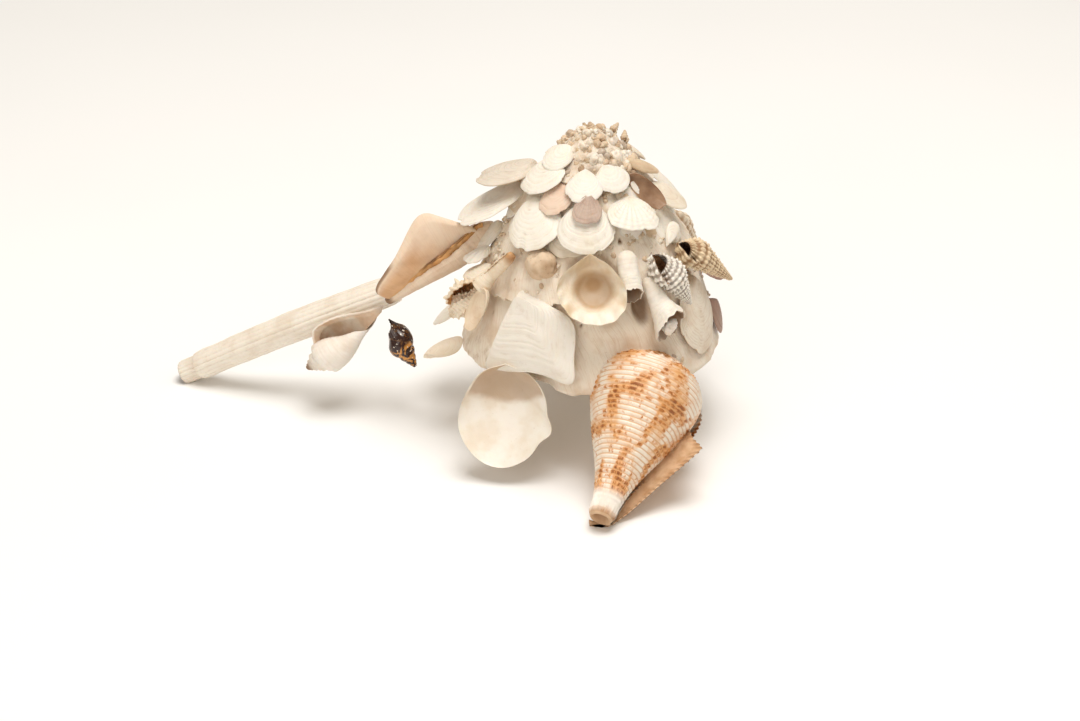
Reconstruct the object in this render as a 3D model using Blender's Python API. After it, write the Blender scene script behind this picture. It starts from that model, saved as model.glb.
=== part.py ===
"""Carrier shell: a conical sea snail shell with other shells cemented all round it.

Everything is placed from the host's axis. A place is (azimuth, distance, height): degrees round the axis with
-90 at the front, and millimetres from the axis and above the rim of the host. Each attached shell lies
between a root, where it is cemented, and a tip, and its face looks toward a given direction.
"""

import math

import bmesh
import bpy
from mathutils import Matrix, Vector

MM = 0.001
GAP = 0.3 * MM
FLAT_ENOUGH = math.radians(2.4)
SHARP_ANGLE = math.radians(50.0)

# Driving sizes of the whole, in millimetres
RIM_ABOVE_GROUND = 26.0
AXIS_FROM_CENTRE = (39.9, 6.1)
HOST_HEIGHT = 62.0
GROUND = -RIM_ABOVE_GROUND

# Outline of the host's wall from rim to apex: height, radius
HOST_WALL = [(0.0, 36.0), (1.2, 35.6), (4.0, 34.5), (12.0, 32.0), (20.0, 29.5), (28.0, 26.5),
             (36.0, 22.0), (44.0, 17.0), (52.0, 11.0), (58.0, 6.0), (62.0, 1.2)]
# Underside from the rim inward, with the navel in the middle: height, radius
HOST_BASE = [(-0.9, 35.4), (0.4, 33.0), (-1.6, 28.0), (-1.2, 20.0), (0.4, 11.0), (3.0, 6.4), (10.0, 3.6)]
NAVEL_TOP = 15.0
WHORL_RATIO = 0.53
WHORL_STEP = 1.1
HOST_SEGMENTS = 32
HOST_ROWS = 14
# The wall stops this share of the way up, under a closed tip, and its rows close up toward the tip
WALL_TOP = 0.985
ROW_CROWDING = 1.25
# The seams fade in over this height above the rim and shrink with the wall inside this radius
SEAM_FADE_HEIGHT = 8.0
SEAM_FULL_RADIUS = 20.0

# The host's mouth: a hollow that runs up inside the last whorl from the underside
MOUTH_AZIMUTH = (58.0, 160.0)
MOUTH_RADIUS = 20.0
MOUTH_HEIGHTS = (-5.0, 9.0)
MOUTH_HALF_WIDTH = 10.5
MOUTH_HALF_HEIGHT = 9.0

SHELL_THICKNESS = 0.9
VALVE_SEGMENTS = 12
SNAIL_SEGMENTS = 10
LUMP_FINENESS = 1
LARGE_VALVE_STAGES = (0.4, 0.75, 1.0)

WHITE = (0.90, 0.86, 0.80)
CREAM = (0.82, 0.74, 0.62)
TAN = (0.62, 0.46, 0.30)
ORANGE = (0.72, 0.42, 0.20)
BROWN = (0.16, 0.07, 0.03)
GREY = (0.55, 0.51, 0.48)


def clear_scene():
    for thing in list(bpy.data.objects):
        bpy.data.objects.remove(thing, do_unlink=True)


def shell_material(name, colour, roughness=0.55):
    material = bpy.data.materials.new(name)
    material.use_nodes = True
    shader = material.node_tree.nodes["Principled BSDF"]
    shader.inputs["Base Color"].default_value = (*colour, 1.0)
    shader.inputs["Roughness"].default_value = roughness
    shader.inputs["Metallic"].default_value = 0.0
    return material


def place(azimuth, distance, height):
    """A point at this azimuth, distance from the host's axis and height above its rim, in metres."""
    turn = math.radians(azimuth)
    return Vector((distance * math.cos(turn), distance * math.sin(turn), height)) * MM


def outward(azimuth, rise):
    """The direction away from the axis at this azimuth, raised by this many degrees."""
    turn = math.radians(azimuth)
    lift = math.radians(rise)
    return Vector((math.cos(turn) * math.cos(lift), math.sin(turn) * math.cos(lift), math.sin(lift)))


def between(root, tip, face):
    """Frame at root whose Y runs to tip and whose Z looks as nearly as it can along face."""
    along = (tip - root).normalized()
    across = along.cross(face).normalized()
    up = across.cross(along)
    frame = Matrix((across, along, up)).transposed().to_4x4()
    frame.translation = root
    return frame


def blend(points, value):
    """Linear reading of a list of (value, result) pairs."""
    if value <= points[0][0]:
        return points[0][1]
    for (low, first), (high, second) in zip(points, points[1:]):
        if value <= high:
            return first + (second - first) * (value - low) / (high - low)
    return points[-1][1]


def solid_from_rings(rings, start, end):
    """Closed mesh from rings of points, capped with a fan to the start point and to the end point."""
    shape = bmesh.new()
    rows = [[shape.verts.new(point) for point in ring] for ring in rings]
    first = shape.verts.new(start)
    last = shape.verts.new(end)
    count = len(rows[0])
    for here in range(count):
        after = (here + 1) % count
        shape.faces.new((first, rows[0][after], rows[0][here]))
        shape.faces.new((last, rows[-1][here], rows[-1][after]))
        for lower, upper in zip(rows, rows[1:]):
            shape.faces.new((lower[here], lower[after], upper[after], upper[here]))
    bmesh.ops.recalc_face_normals(shape, faces=shape.faces)
    bmesh.ops.triangulate(shape, faces=shape.faces)
    return shape


def add_object(name, shape, frame, material, axis):
    mesh = bpy.data.meshes.new(name)
    shape.to_mesh(mesh)
    shape.free()
    thing = bpy.data.objects.new(name, mesh)
    bpy.context.scene.collection.objects.link(thing)
    mesh.materials.append(material)
    thing.parent = axis
    thing.matrix_basis = frame
    bpy.context.view_layer.update()
    return thing


# Shapes of shells, each along its own Y axis

def valve(width, length, depth, fan=0.0, thick=SHELL_THICKNESS, stages=(0.6, 1.0)):
    """One half of a clam: dished, its beak at the origin, growing along Y and bulging along Z.

    Fan draws the outline in toward the beak: 0 is an oval and 0.6 nearly a triangle.
    """
    beak = Vector((0.0, 0.10 * length))

    def margin(turn):
        opening = (1.0 - math.cos(turn)) / 2.0
        return Vector((0.5 * width * math.sin(turn) * opening ** fan * (1.0 + 0.45 * fan), length * opening))

    def ring(stage, drop):
        points = []
        for step in range(VALVE_SEGMENTS):
            edge = margin(2.0 * math.pi * (step + 0.5) / VALVE_SEGMENTS)
            flat = beak + (edge - beak) * stage
            rise = depth * (1.0 - stage ** 2) ** 0.75
            points.append(Vector((flat.x, flat.y, rise - drop)) * MM)
        return points

    outer = [ring(stage, 0.0) for stage in stages]
    inner = [ring(stage, thick) for stage in reversed(stages)]
    top = Vector((beak.x, beak.y, depth)) * MM
    under = Vector((beak.x, beak.y, depth - thick)) * MM
    return solid_from_rings(outer + inner, top, under)


def snail(profile, whorl_growth=1.0, lip_turn=0.0, segments=SNAIL_SEGMENTS, flat=1.0):
    """A coiled shell along Y from (distance along, radius) pairs.

    The last whorl grows round the axis by whorl_growth and ends at lip_turn in a step, and flat squashes the
    shell along Z.
    """
    rings = []
    for along, radius in profile[1:-1]:
        points = []
        for step in range(segments):
            share = step / (segments - 1) if whorl_growth > 1.0 else step / segments
            turn = math.radians(lip_turn) + 2.0 * math.pi * share
            reach = radius * whorl_growth ** -share
            points.append(Vector((reach * math.cos(turn), along, flat * reach * math.sin(turn))) * MM)
        rings.append(points)
    start = Vector((0.0, profile[0][0], 0.0)) * MM
    end = Vector((0.0, profile[-1][0], 0.0)) * MM
    return solid_from_rings(rings, start, end)


def whorled(length, radius, whorls, foot_share=0.22, knobs=0.12):
    """Profile of a turret shell from mouth to apex, with a bulge for each whorl."""
    profile = [(0.0, 0.0), (0.02 * length, 0.45 * radius)]
    for whorl in range(whorls):
        share = foot_share + (1.0 - foot_share) * whorl / whorls
        taper = radius * (1.0 - share) / (1.0 - foot_share)
        profile.append((share * length, taper * (1.0 + knobs)))
        nearly = share + (1.0 - foot_share) * 0.7 / whorls
        taper_after = radius * (1.0 - nearly) / (1.0 - foot_share)
        profile.append((nearly * length, taper_after * (1.0 - knobs)))
    profile.append((length, 0.0))
    return profile


def lump(size_x, size_y, size_z):
    """A rounded pebble of these half sizes, resting on its middle."""
    shape = bmesh.new()
    bmesh.ops.create_icosphere(shape, subdivisions=LUMP_FINENESS, radius=1.0)
    for corner in shape.verts:
        wobble = 1.0 + 0.10 * math.sin(5.0 * corner.co.x + 3.0 * corner.co.y) * math.cos(4.0 * corner.co.z)
        corner.co = Vector((corner.co.x * size_x, corner.co.y * size_y, corner.co.z * size_z)) * wobble * MM
    return shape


def sheet(outline, thickness, bend):
    """A thin plate: the outline's (across, along) points at the mid plane, bent by bend(across, along)."""
    shape = bmesh.new()
    upper = []
    lower = []
    for across, along in outline:
        middle = bend(across, along)
        upper.append(shape.verts.new(Vector((across, along, middle + thickness / 2.0)) * MM))
        lower.append(shape.verts.new(Vector((across, along, middle - thickness / 2.0)) * MM))
    count = len(outline)
    shape.faces.new(upper)
    shape.faces.new(list(reversed(lower)))
    for here in range(count):
        after = (here + 1) % count
        shape.faces.new((upper[after], upper[here], lower[here], lower[after]))
    bmesh.ops.recalc_face_normals(shape, faces=shape.faces)
    bmesh.ops.triangulate(shape, faces=shape.faces)
    return shape


# Cutting and joining

def swollen_copy(thing, by):
    """A hidden copy of the thing, larger all round, to cut clearance with."""
    cutter = thing.copy()
    cutter.data = thing.data.copy()
    cutter.name = "clearance"
    bpy.context.scene.collection.objects.link(cutter)
    shape = bmesh.new()
    shape.from_mesh(cutter.data)
    shape.normal_update()
    moves = [corner.normal * by * min(corner.calc_shell_factor(), 4.0) for corner in shape.verts]
    for corner, move in zip(shape.verts, moves):
        corner.co += move
    shape.to_mesh(cutter.data)
    shape.free()
    cutter.hide_render = True
    cutter.display_type = "WIRE"
    return cutter


def keep_largest_body(mesh):
    shape = bmesh.new()
    shape.from_mesh(mesh)
    bmesh.ops.remove_doubles(shape, verts=shape.verts, dist=1e-6)
    bmesh.ops.dissolve_degenerate(shape, edges=shape.edges, dist=1e-6)
    unseen = set(shape.faces)
    bodies = []
    while unseen:
        reach = [unseen.pop()]
        body = []
        while reach:
            face = reach.pop()
            body.append(face)
            for edge in face.edges:
                for other in edge.link_faces:
                    if other in unseen:
                        unseen.remove(other)
                        reach.append(other)
        bodies.append(body)
    bodies.sort(key=lambda body: sum(face.calc_area() for face in body), reverse=True)
    spare = [face for body in bodies[1:] for face in body]
    bmesh.ops.delete(shape, geom=spare, context="FACES")
    bmesh.ops.dissolve_limit(shape, angle_limit=FLAT_ENOUGH, verts=shape.verts, edges=shape.edges)
    bmesh.ops.triangulate(shape, faces=shape.faces)
    shape.to_mesh(mesh)
    shape.free()


def shade(mesh):
    """Smooth shading, with the true edges kept sharp."""
    mesh.shade_smooth()
    mesh.set_sharp_from_angle(angle=SHARP_ANGLE)


def combine(thing, tool, operation):
    """Apply one Boolean to the thing and remove the tool."""
    step = thing.modifiers.new(operation.lower(), "BOOLEAN")
    step.operation = operation
    step.solver = "EXACT"
    step.object = tool
    bpy.context.view_layer.update()
    evaluated = thing.evaluated_get(bpy.context.evaluated_depsgraph_get())
    result = bpy.data.meshes.new_from_object(evaluated)
    thing.modifiers.clear()
    keep_largest_body(result)
    result.name = thing.name
    thing.data = result
    bpy.data.objects.remove(tool, do_unlink=True)


def world_box(thing):
    corners = [thing.matrix_world @ corner.co for corner in thing.data.vertices]
    low = [min(corner[axis] for corner in corners) for axis in range(3)]
    high = [max(corner[axis] for corner in corners) for axis in range(3)]
    return low, high


def near(first, second):
    (low_a, high_a), (low_b, high_b) = world_box(first), world_box(second)
    return all(low_a[axis] < high_b[axis] + GAP and low_b[axis] < high_a[axis] + GAP for axis in range(3))


class Specimen:
    """The host's axis and every shell placed on it so far."""

    def __init__(self):
        self.axis = bpy.data.objects.new("host_axis", None)
        self.axis.location = Vector((AXIS_FROM_CENTRE[0], AXIS_FROM_CENTRE[1], RIM_ABOVE_GROUND)) * MM
        bpy.context.scene.collection.objects.link(self.axis)
        bpy.context.view_layer.update()
        self.placed = []

    def cement(self, name, shape, root, tip, face, colour, extra=None, notch=False):
        """Place a shell and cut it back where it meets what is already there, and at the ground.

        With notch the host grew round the shell, so it is the host that gives way.
        """
        material = shell_material(name, colour)
        thing = add_object(name, shape, between(root, tip, face), material, self.axis)
        if extra is not None:
            part = add_object("join", extra, between(root, tip, face), material, self.axis)
            combine(thing, part, "UNION")
        if notch:
            combine(self.placed[0], swollen_copy(thing, GAP), "DIFFERENCE")
        for other in self.placed[1 if notch else 0:]:
            if near(thing, other):
                combine(thing, swollen_copy(other, GAP), "DIFFERENCE")
        if world_box(thing)[0][2] < 0.0:
            combine(thing, self.ground_block(), "DIFFERENCE")
        self.placed.append(thing)
        return thing

    def ground_block(self):
        """A block whose top is the surface that the object stands on."""
        size = 400.0 * MM
        depth = 50.0 * MM
        shape = bmesh.new()
        bmesh.ops.create_cube(shape, size=1.0)
        bmesh.ops.scale(shape, verts=shape.verts, vec=(size, size, depth))
        middle = Vector((0.0, 0.0, GROUND * MM - depth / 2.0))
        frame = Matrix.Translation(middle)
        block = add_object("ground", shape, frame, shell_material("ground", WHITE), self.axis)
        block.hide_render = True
        block.display_type = "WIRE"
        return block


# The host

def whorl_at(height, azimuth):
    """Whorls above the rim at this height, counted along a seam that winds to the right."""
    share = min(max(height / HOST_HEIGHT, 0.0), WALL_TOP)
    return math.log(1.0 - share) / math.log(WHORL_RATIO) - azimuth / 360.0


def host_radius(height, azimuth):
    """Radius of the wall, which stands out at the foot of each whorl and is drawn in at its seam."""
    rise = whorl_at(height, azimuth) % 1.0
    step = WHORL_STEP * (0.5 - rise) * min(1.0, height / SEAM_FADE_HEIGHT)
    base = blend(HOST_WALL, height)
    return base + step * min(1.0, base / SEAM_FULL_RADIUS)


def host_mesh():
    rings = []
    for row in range(HOST_ROWS + 1):
        share = row / HOST_ROWS
        height = WALL_TOP * HOST_HEIGHT * (1.0 - (1.0 - share) ** ROW_CROWDING)
        ring = []
        for step in range(HOST_SEGMENTS):
            azimuth = 360.0 * step / HOST_SEGMENTS
            radius = host_radius(height, azimuth)
            turn = math.radians(azimuth)
            ring.append(Vector((radius * math.cos(turn), radius * math.sin(turn), height)) * MM)
        rings.append(ring)
    under = []
    for height, radius in HOST_BASE:
        ring = []
        for step in range(HOST_SEGMENTS):
            turn = 2.0 * math.pi * step / HOST_SEGMENTS
            ring.append(Vector((radius * math.cos(turn), radius * math.sin(turn), height)) * MM)
        under.append(ring)
    navel = Vector((0.0, 0.0, NAVEL_TOP)) * MM
    apex = Vector((0.0, 0.0, HOST_HEIGHT)) * MM
    return solid_from_rings(list(reversed(under)) + rings, navel, apex)


def mouth_cutter():
    """The hollow of the last whorl: an oval swept round the axis as it rises."""
    rings = []
    steps = 6
    around = 10
    for step in range(steps):
        share = step / (steps - 1)
        azimuth = MOUTH_AZIMUTH[0] + share * (MOUTH_AZIMUTH[1] - MOUTH_AZIMUTH[0])
        height = MOUTH_HEIGHTS[0] + (MOUTH_HEIGHTS[1] - MOUTH_HEIGHTS[0]) * min(1.0, 1.6 * share)
        size = 1.0 - 0.45 * share
        ring = []
        for spoke in range(around):
            turn = 2.0 * math.pi * spoke / around
            reach = MOUTH_RADIUS + size * MOUTH_HALF_WIDTH * math.cos(turn)
            ring.append(place(azimuth, reach, height + size * MOUTH_HALF_HEIGHT * math.sin(turn)))
        rings.append(ring)
    start = place(MOUTH_AZIMUTH[0] - 4.0, MOUTH_RADIUS, MOUTH_HEIGHTS[0])
    end = place(MOUTH_AZIMUTH[1] + 6.0, MOUTH_RADIUS, MOUTH_HEIGHTS[1])
    return solid_from_rings(rings, start, end)


def build_host(specimen):
    host = add_object("host_shell", host_mesh(), Matrix.Identity(4), shell_material("host_shell", CREAM),
                      specimen.axis)
    hollow = add_object("hollow", mouth_cutter(), Matrix.Identity(4), shell_material("hollow", TAN),
                        specimen.axis)
    combine(host, hollow, "DIFFERENCE")
    specimen.placed.append(host)


# The big shells at the rim

FIG_ROOT = (-51.0, 30.4, 3.6)
FIG_TIP = (-89.0, 65.4, -23.6)
FIG_PROFILE = [(0.0, 0.0), (1.5, 4.2), (4.0, 10.0), (6.5, 14.6), (10.0, 16.6), (15.0, 16.2), (21.0, 14.0),
               (28.0, 11.0), (34.0, 8.0), (40.0, 5.6), (46.0, 4.1), (50.2, 3.6), (51.2, 0.0)]


def build_fig_shell(specimen):
    body = snail(FIG_PROFILE, whorl_growth=1.18, lip_turn=-155.0, segments=16)
    specimen.cement("fig_shell", body, place(*FIG_ROOT), place(*FIG_TIP), outward(-90.0, 50.0), ORANGE,
                    extra=fig_lip())


def fig_lip():
    """The wide outer lip, a plate with a corner that stands out beside the body."""
    outline = [(-3.0, 15.0), (-15.0, 20.0), (-18.0, 24.0), (-16.5, 28.0), (-11.5, 36.0), (-7.0, 43.0),
               (-3.0, 49.0), (2.0, 49.5), (1.0, 40.0)]

    def bend(across, along):
        return -4.5 + 0.02 * across * across - 0.02 * (along - 25.0)

    return sheet(outline, 1.4, bend)


def build_round_valve(specimen):
    shape = valve(25.0, 29.0, 5.5, stages=LARGE_VALVE_STAGES)
    specimen.cement("round_valve", shape, place(-128.0, 37.6, 5.4), place(-121.5, 47.0, -22.4),
                    outward(80.0, -20.0), WHITE, notch=True)


# The arm of long shells at the left. Their places are (x, y, height) from the axis.

TUSK_ROOT = (-54.5, 6.0, 10.6)
TUSK_TIP = (-117.6, 20.4, -23.8)
TUSK_LENGTH = math.dist(TUSK_ROOT, TUSK_TIP)
TUSK_PROFILE = [(0.0, 0.0), (0.2, 4.0), (8.0, 4.3), (0.55 * TUSK_LENGTH, 4.3), (TUSK_LENGTH - 6.0, 3.9),
                (TUSK_LENGTH - 5.6, 3.5), (TUSK_LENGTH, 3.4), (TUSK_LENGTH, 2.6), (TUSK_LENGTH - 9.0, 2.3),
                (TUSK_LENGTH - 9.5, 0.0)]
FLARED_PROFILE = [(0.0, 0.0), (2.0, 2.0), (5.0, 3.4), (9.0, 4.6), (14.0, 4.7), (20.0, 4.0), (27.0, 2.9),
                  (33.0, 1.9), (37.0, 1.5), (37.6, 0.0)]
CONCH_PROFILE = [(0.0, 0.0), (0.6, 1.2), (4.0, 2.2), (8.0, 3.6), (12.0, 5.4), (17.0, 7.0), (21.0, 7.4),
                 (24.0, 6.6), (26.5, 4.6), (28.5, 2.4), (29.5, 0.0)]


def spot(x, y, height):
    return Vector((x, y, height)) * MM


def build_left_arm(specimen):
    specimen.cement("flared_conch", snail(FLARED_PROFILE), spot(-26.0, 5.0, 31.0), spot(-56.5, 0.5, 9.5),
                    Vector((-0.57, 0.0, 0.81)), ORANGE, extra=flared_wing())
    specimen.cement("tusk_shell", snail(TUSK_PROFILE, segments=12), spot(*TUSK_ROOT), spot(*TUSK_TIP),
                    Vector((0.0, -0.5, 1.0)), CREAM)
    conch = snail(CONCH_PROFILE, whorl_growth=1.5, lip_turn=-40.0, segments=12)
    specimen.cement("small_conch", conch, spot(-57.0, 0.5, 6.0), spot(-79.5, 2.5, -12.5),
                    Vector((0.1, -0.7, 0.7)), WHITE)
    specimen.cement("dark_snail", snail(whorled(17.0, 4.3, 4, foot_share=0.34)), spot(-57.2, -0.8, 3.4),
                    spot(-48.0, -1.5, -11.8), Vector((0.2, -0.9, 0.3)), BROWN)


def flared_wing():
    """The lip that stands up over the conch's mouth: a tall curved plate."""
    outline = [(5.0, 0.0), (6.0, 5.0), (10.5, 12.4), (13.0, 15.0), (15.5, 15.6), (26.0, 11.0), (36.6, 6.4),
               (38.6, 3.4), (36.0, 0.0)]
    shape = sheet([(height, along) for along, height in outline], 1.0,
                  lambda height, along: -0.045 * height * (18.0 - height))
    shape.transform(Matrix.Rotation(math.radians(-90.0), 4, "Y"))
    return shape


# Shells on the wall of the last whorl

CANAL_PROFILE = [(0.0, 0.0), (0.3, 1.0), (7.0, 1.2), (13.0, 1.7), (16.0, 4.2), (19.0, 5.4), (22.0, 4.9),
                 (22.8, 3.6), (25.5, 3.4), (26.2, 2.2), (28.6, 1.6), (29.6, 0.0)]


def open_tube(length, first, last, wall=0.7, bore=0.3):
    """Profile of a tube with a rounded start and an open end whose bore is this share of its length."""
    inner = last - wall
    return [(0.0, 0.0), (0.05 * length, 0.7 * first), (0.2 * length, first), (0.6 * length, 0.5 * (first + last)),
            (length, last), (length, inner), ((1.0 - bore) * length, 0.8 * inner),
            ((0.9 - bore) * length, 0.0)]


def build_front_wall(specimen):
    specimen.cement("facet_valve", valve(28.0, 25.6, 2.6, fan=0.5),
                    place(-132.0, 29.2, 24.0), place(-116.0, 37.6, 0.6), outward(-124.0, 20.0), WHITE)
    specimen.cement("cockle_valve", valve(19.5, 20.5, 4.6, fan=0.1, stages=LARGE_VALVE_STAGES),
                    place(-92.0, 26.5, 37.2), place(-87.0, 37.8, 20.2), outward(90.0, -34.0), CREAM)
    specimen.cement("pebble", lump(4.6, 4.2, 3.4), place(-122.0, 25.4, 31.4), place(-122.0, 28.0, 26.0),
                    outward(-122.0, 30.0), TAN)


def build_right_wall(specimen):
    specimen.cement("finger_tube", snail(open_tube(13.4, 2.6, 3.0)), place(-70.0, 25.2, 36.6),
                    place(-71.0, 32.6, 25.4), outward(-70.0, 40.0), WHITE)
    specimen.cement("horn_tube", snail(open_tube(15.5, 1.8, 4.4, bore=0.4)), place(-60.0, 28.4, 29.2),
                    place(-54.0, 36.6, 15.8), outward(-57.0, 40.0), WHITE)
    specimen.cement("grey_snail", snail(whorled(21.6, 4.3, 5, foot_share=0.35)), place(-56.0, 28.2, 37.2),
                    place(-39.0, 35.6, 18.2), outward(-45.0, 40.0), GREY)
    specimen.cement("beaded_auger", snail(whorled(24.0, 4.3, 6)), place(-33.0, 27.0, 35.5),
                    place(-12.0, 40.5, 19.6), outward(-45.0, 50.0), TAN)
    specimen.cement("thin_shard", valve(4.0, 8.0, 0.8, fan=0.5), place(-38.0, 25.4, 34.0),
                    place(-22.0, 24.8, 38.8), outward(-70.0, 20.0), WHITE)
    specimen.cement("side_valve", valve(18.0, 23.0, 2.4, fan=0.2), place(-24.0, 29.0, 24.0),
                    place(-33.0, 36.8, 2.0), outward(-28.0, 20.0), CREAM)
    specimen.cement("purple_valve", valve(8.0, 10.0, 1.8, fan=0.2), place(-5.0, 33.2, 12.0),
                    place(-8.0, 37.0, 2.4), outward(-7.0, 20.0), TAN)
    specimen.cement("ledge_valve", valve(7.0, 8.6, 1.4, fan=0.2), place(2.0, 29.4, 21.0),
                    place(-5.0, 37.4, 17.6), outward(0.0, 60.0), WHITE)


def build_left_wall(specimen):
    specimen.cement("long_canal_shell", snail(CANAL_PROFILE), place(-140.0, 28.0, 32.8),
                    place(-165.0, 41.0, 9.2), outward(-130.0, 40.0), CREAM)
    specimen.cement("pointed_chip", valve(6.0, 12.4, 1.4, fan=0.5), place(-172.0, 47.0, -4.4),
                    place(-169.0, 35.6, 0.8), outward(-110.0, 60.0), CREAM)
    specimen.cement("left_pale_valve", valve(10.0, 11.0, 1.8, fan=0.1), place(176.0, 24.0, 33.0),
                    place(179.0, 32.4, 24.4), outward(180.0, 40.0), WHITE)
    specimen.cement("left_small_valve_1", valve(7.0, 9.0, 1.4, fan=0.2), place(-171.0, 27.4, 27.8),
                    place(-168.0, 36.0, 25.4), outward(-170.0, 65.0), WHITE)
    specimen.cement("left_small_valve_2", valve(7.0, 9.0, 1.4, fan=0.2), place(-161.0, 28.0, 24.6),
                    place(-166.0, 36.4, 21.4), outward(-165.0, 65.0), WHITE)


# Valves laid like roof tiles round the upper whorls. Each row is a name, the root, the tip, the width,
# the depth, the fan, and the way that the outside of the valve faces (azimuth, rise).

FRONT_TILES = [
    ("front_tile", (-97.0, 14.6, 46.8), (-94.0, 25.6, 37.0), 16.0, 2.4, 0.25, (-95.0, 48.0)),
    ("front_left_tile", (-152.0, 16.6, 45.0), (-127.0, 26.6, 35.4), 16.0, 2.4, 0.1, (-138.0, 48.0)),
    ("front_right_tile", (-51.0, 15.0, 46.8), (-61.0, 24.4, 41.4), 15.0, 1.6, 0.15, (-57.0, 60.0)),
    ("left_lower_tile", (175.0, 18.2, 44.2), (-175.0, 36.4, 35.6), 17.0, 2.2, 0.1, (-175.0, 60.0)),
    ("left_upper_tile", (170.0, 14.6, 50.0), (-178.0, 31.2, 46.6), 15.0, 1.8, 0.1, (180.0, 70.0)),
    ("middle_tile", (-164.0, 11.0, 53.6), (-143.0, 19.4, 48.0), 15.5, 1.8, 0.15, (-150.0, 50.0)),
    ("pink_tile", (-133.0, 13.2, 49.8), (-120.0, 20.8, 44.4), 9.6, 1.4, 0.1, (-125.0, 42.0)),
    ("white_tile", (-100.0, 10.0, 53.6), (-98.0, 19.4, 48.4), 10.6, 1.6, 0.25, (-99.0, 52.0)),
    ("ribbed_tile", (-93.0, 15.8, 49.6), (-95.0, 23.4, 44.0), 8.0, 1.4, 0.3, (-95.0, 50.0)),
    ("right_white_tile", (-74.0, 9.4, 54.4), (-62.0, 16.6, 50.0), 9.6, 1.3, 0.1, (-69.0, 52.0)),
    ("top_left_tile", (-140.0, 6.4, 57.4), (-156.0, 14.4, 53.6), 10.0, 1.6, 0.1, (-148.0, 52.0)),
    ("dark_long_valve", (-42.0, 13.2, 51.8), (-29.0, 22.4, 42.8), 6.4, 1.8, 0.0, (120.0, -20.0)),
    ("small_long_valve", (-28.0, 10.4, 54.0), (-2.0, 18.4, 49.4), 5.0, 1.2, 0.0, (-15.0, 60.0)),
    ("pale_right_tile", (-14.0, 15.4, 46.4), (-4.0, 25.6, 40.4), 11.0, 1.5, 0.1, (-8.0, 52.0)),
]


def build_front_tiles(specimen):
    for name, root, tip, width, depth, fan, facing in FRONT_TILES:
        length = (place(*tip) - place(*root)).length / MM
        shape = valve(width, length, depth, fan=fan)
        specimen.cement(name, shape, place(*root), place(*tip), outward(*facing), WHITE)


# Tiny shells and grit at the tip of the spire: azimuth, distance, height and half size

TIP_GRAINS = [(-60.0, 3.6, 59.6, 3.2), (-140.0, 4.6, 58.0, 3.0), (-98.0, 7.6, 55.2, 3.3),
              (-48.0, 8.2, 54.6, 3.2), (60.0, 5.6, 57.6, 3.2), (160.0, 6.2, 56.4, 3.2)]


def build_tip_cluster(specimen):
    specimen.cement("tip_snail", snail(whorled(6.6, 2.6, 2)), place(0.0, 0.8, 57.6),
                    place(180.0, 0.8, 63.8), outward(-90.0, 10.0), TAN)
    for number, (azimuth, distance, height, size) in enumerate(TIP_GRAINS, 1):
        specimen.cement(f"tip_grain_{number}", lump(size, size, 0.9 * size), place(azimuth, distance, height),
                        place(azimuth, distance + 2.0, height - 2.0), outward(azimuth, 30.0), TAN)


# The hidden side, with shells of the same kinds; three of them are feet

BACK_TILE_AZIMUTHS = (28.0, 60.0, 92.0, 122.0, 150.0)
HIGH_TILE_AZIMUTHS = (45.0, 110.0)
WHELK_PROFILE = [(0.0, 0.0), (2.0, 3.0), (5.0, 5.4), (9.0, 7.0), (14.0, 6.6), (20.0, 4.6), (27.0, 3.0),
                 (34.0, 2.4), (36.5, 2.2), (37.0, 0.0)]


def build_back_tiles(specimen):
    for number, azimuth in enumerate(BACK_TILE_AZIMUTHS, 1):
        specimen.cement(f"back_tile_{number}", valve(13.0, 13.0, 2.2, fan=0.15), place(azimuth, 17.0, 45.6),
                        place(azimuth + 4.0, 27.0, 37.4), outward(azimuth, 50.0), WHITE)
    for number, azimuth in enumerate(HIGH_TILE_AZIMUTHS, 1):
        specimen.cement(f"high_tile_{number}", valve(10.0, 9.5, 1.6, fan=0.15), place(azimuth, 11.6, 53.0),
                        place(azimuth + 5.0, 19.0, 47.6), outward(azimuth, 50.0), WHITE)


def build_back_wall(specimen):
    specimen.cement("back_cockle", valve(18.0, 19.0, 4.0, fan=0.1), place(84.0, 26.4, 35.6),
                    place(86.0, 37.2, 19.6), outward(-95.0, -34.0), CREAM)
    specimen.cement("back_snail", snail(whorled(20.0, 4.4, 4, foot_share=0.35)), place(44.0, 27.8, 30.0),
                    place(38.0, 40.2, 14.6), outward(40.0, 40.0), GREY)
    specimen.cement("back_turret", snail(whorled(22.0, 3.8, 5)), place(122.0, 28.4, 30.0),
                    place(126.0, 43.0, 14.0), outward(120.0, 40.0), TAN)


def build_back_feet(specimen):
    specimen.cement("back_auger", snail(whorled(40.6, 4.8, 5)), place(58.0, 33.0, 0.6),
                    place(58.0, 63.0, -28.4), outward(58.0, 60.0), TAN)
    specimen.cement("back_scallop", valve(27.0, 31.4, 5.5, fan=0.3), place(92.0, 37.6, 3.0),
                    place(92.0, 45.0, -28.0), outward(-90.0, -10.0), WHITE, notch=True)
    specimen.cement("back_whelk", snail(WHELK_PROFILE), place(126.0, 33.0, -1.0),
                    place(122.0, 62.5, -26.4), outward(125.0, 60.0), CREAM)
    specimen.cement("left_rim_valve", valve(13.0, 14.0, 2.4, fan=0.2), place(158.0, 35.8, 3.0),
                    place(160.0, 47.4, -5.0), outward(160.0, 50.0), WHITE)


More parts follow.
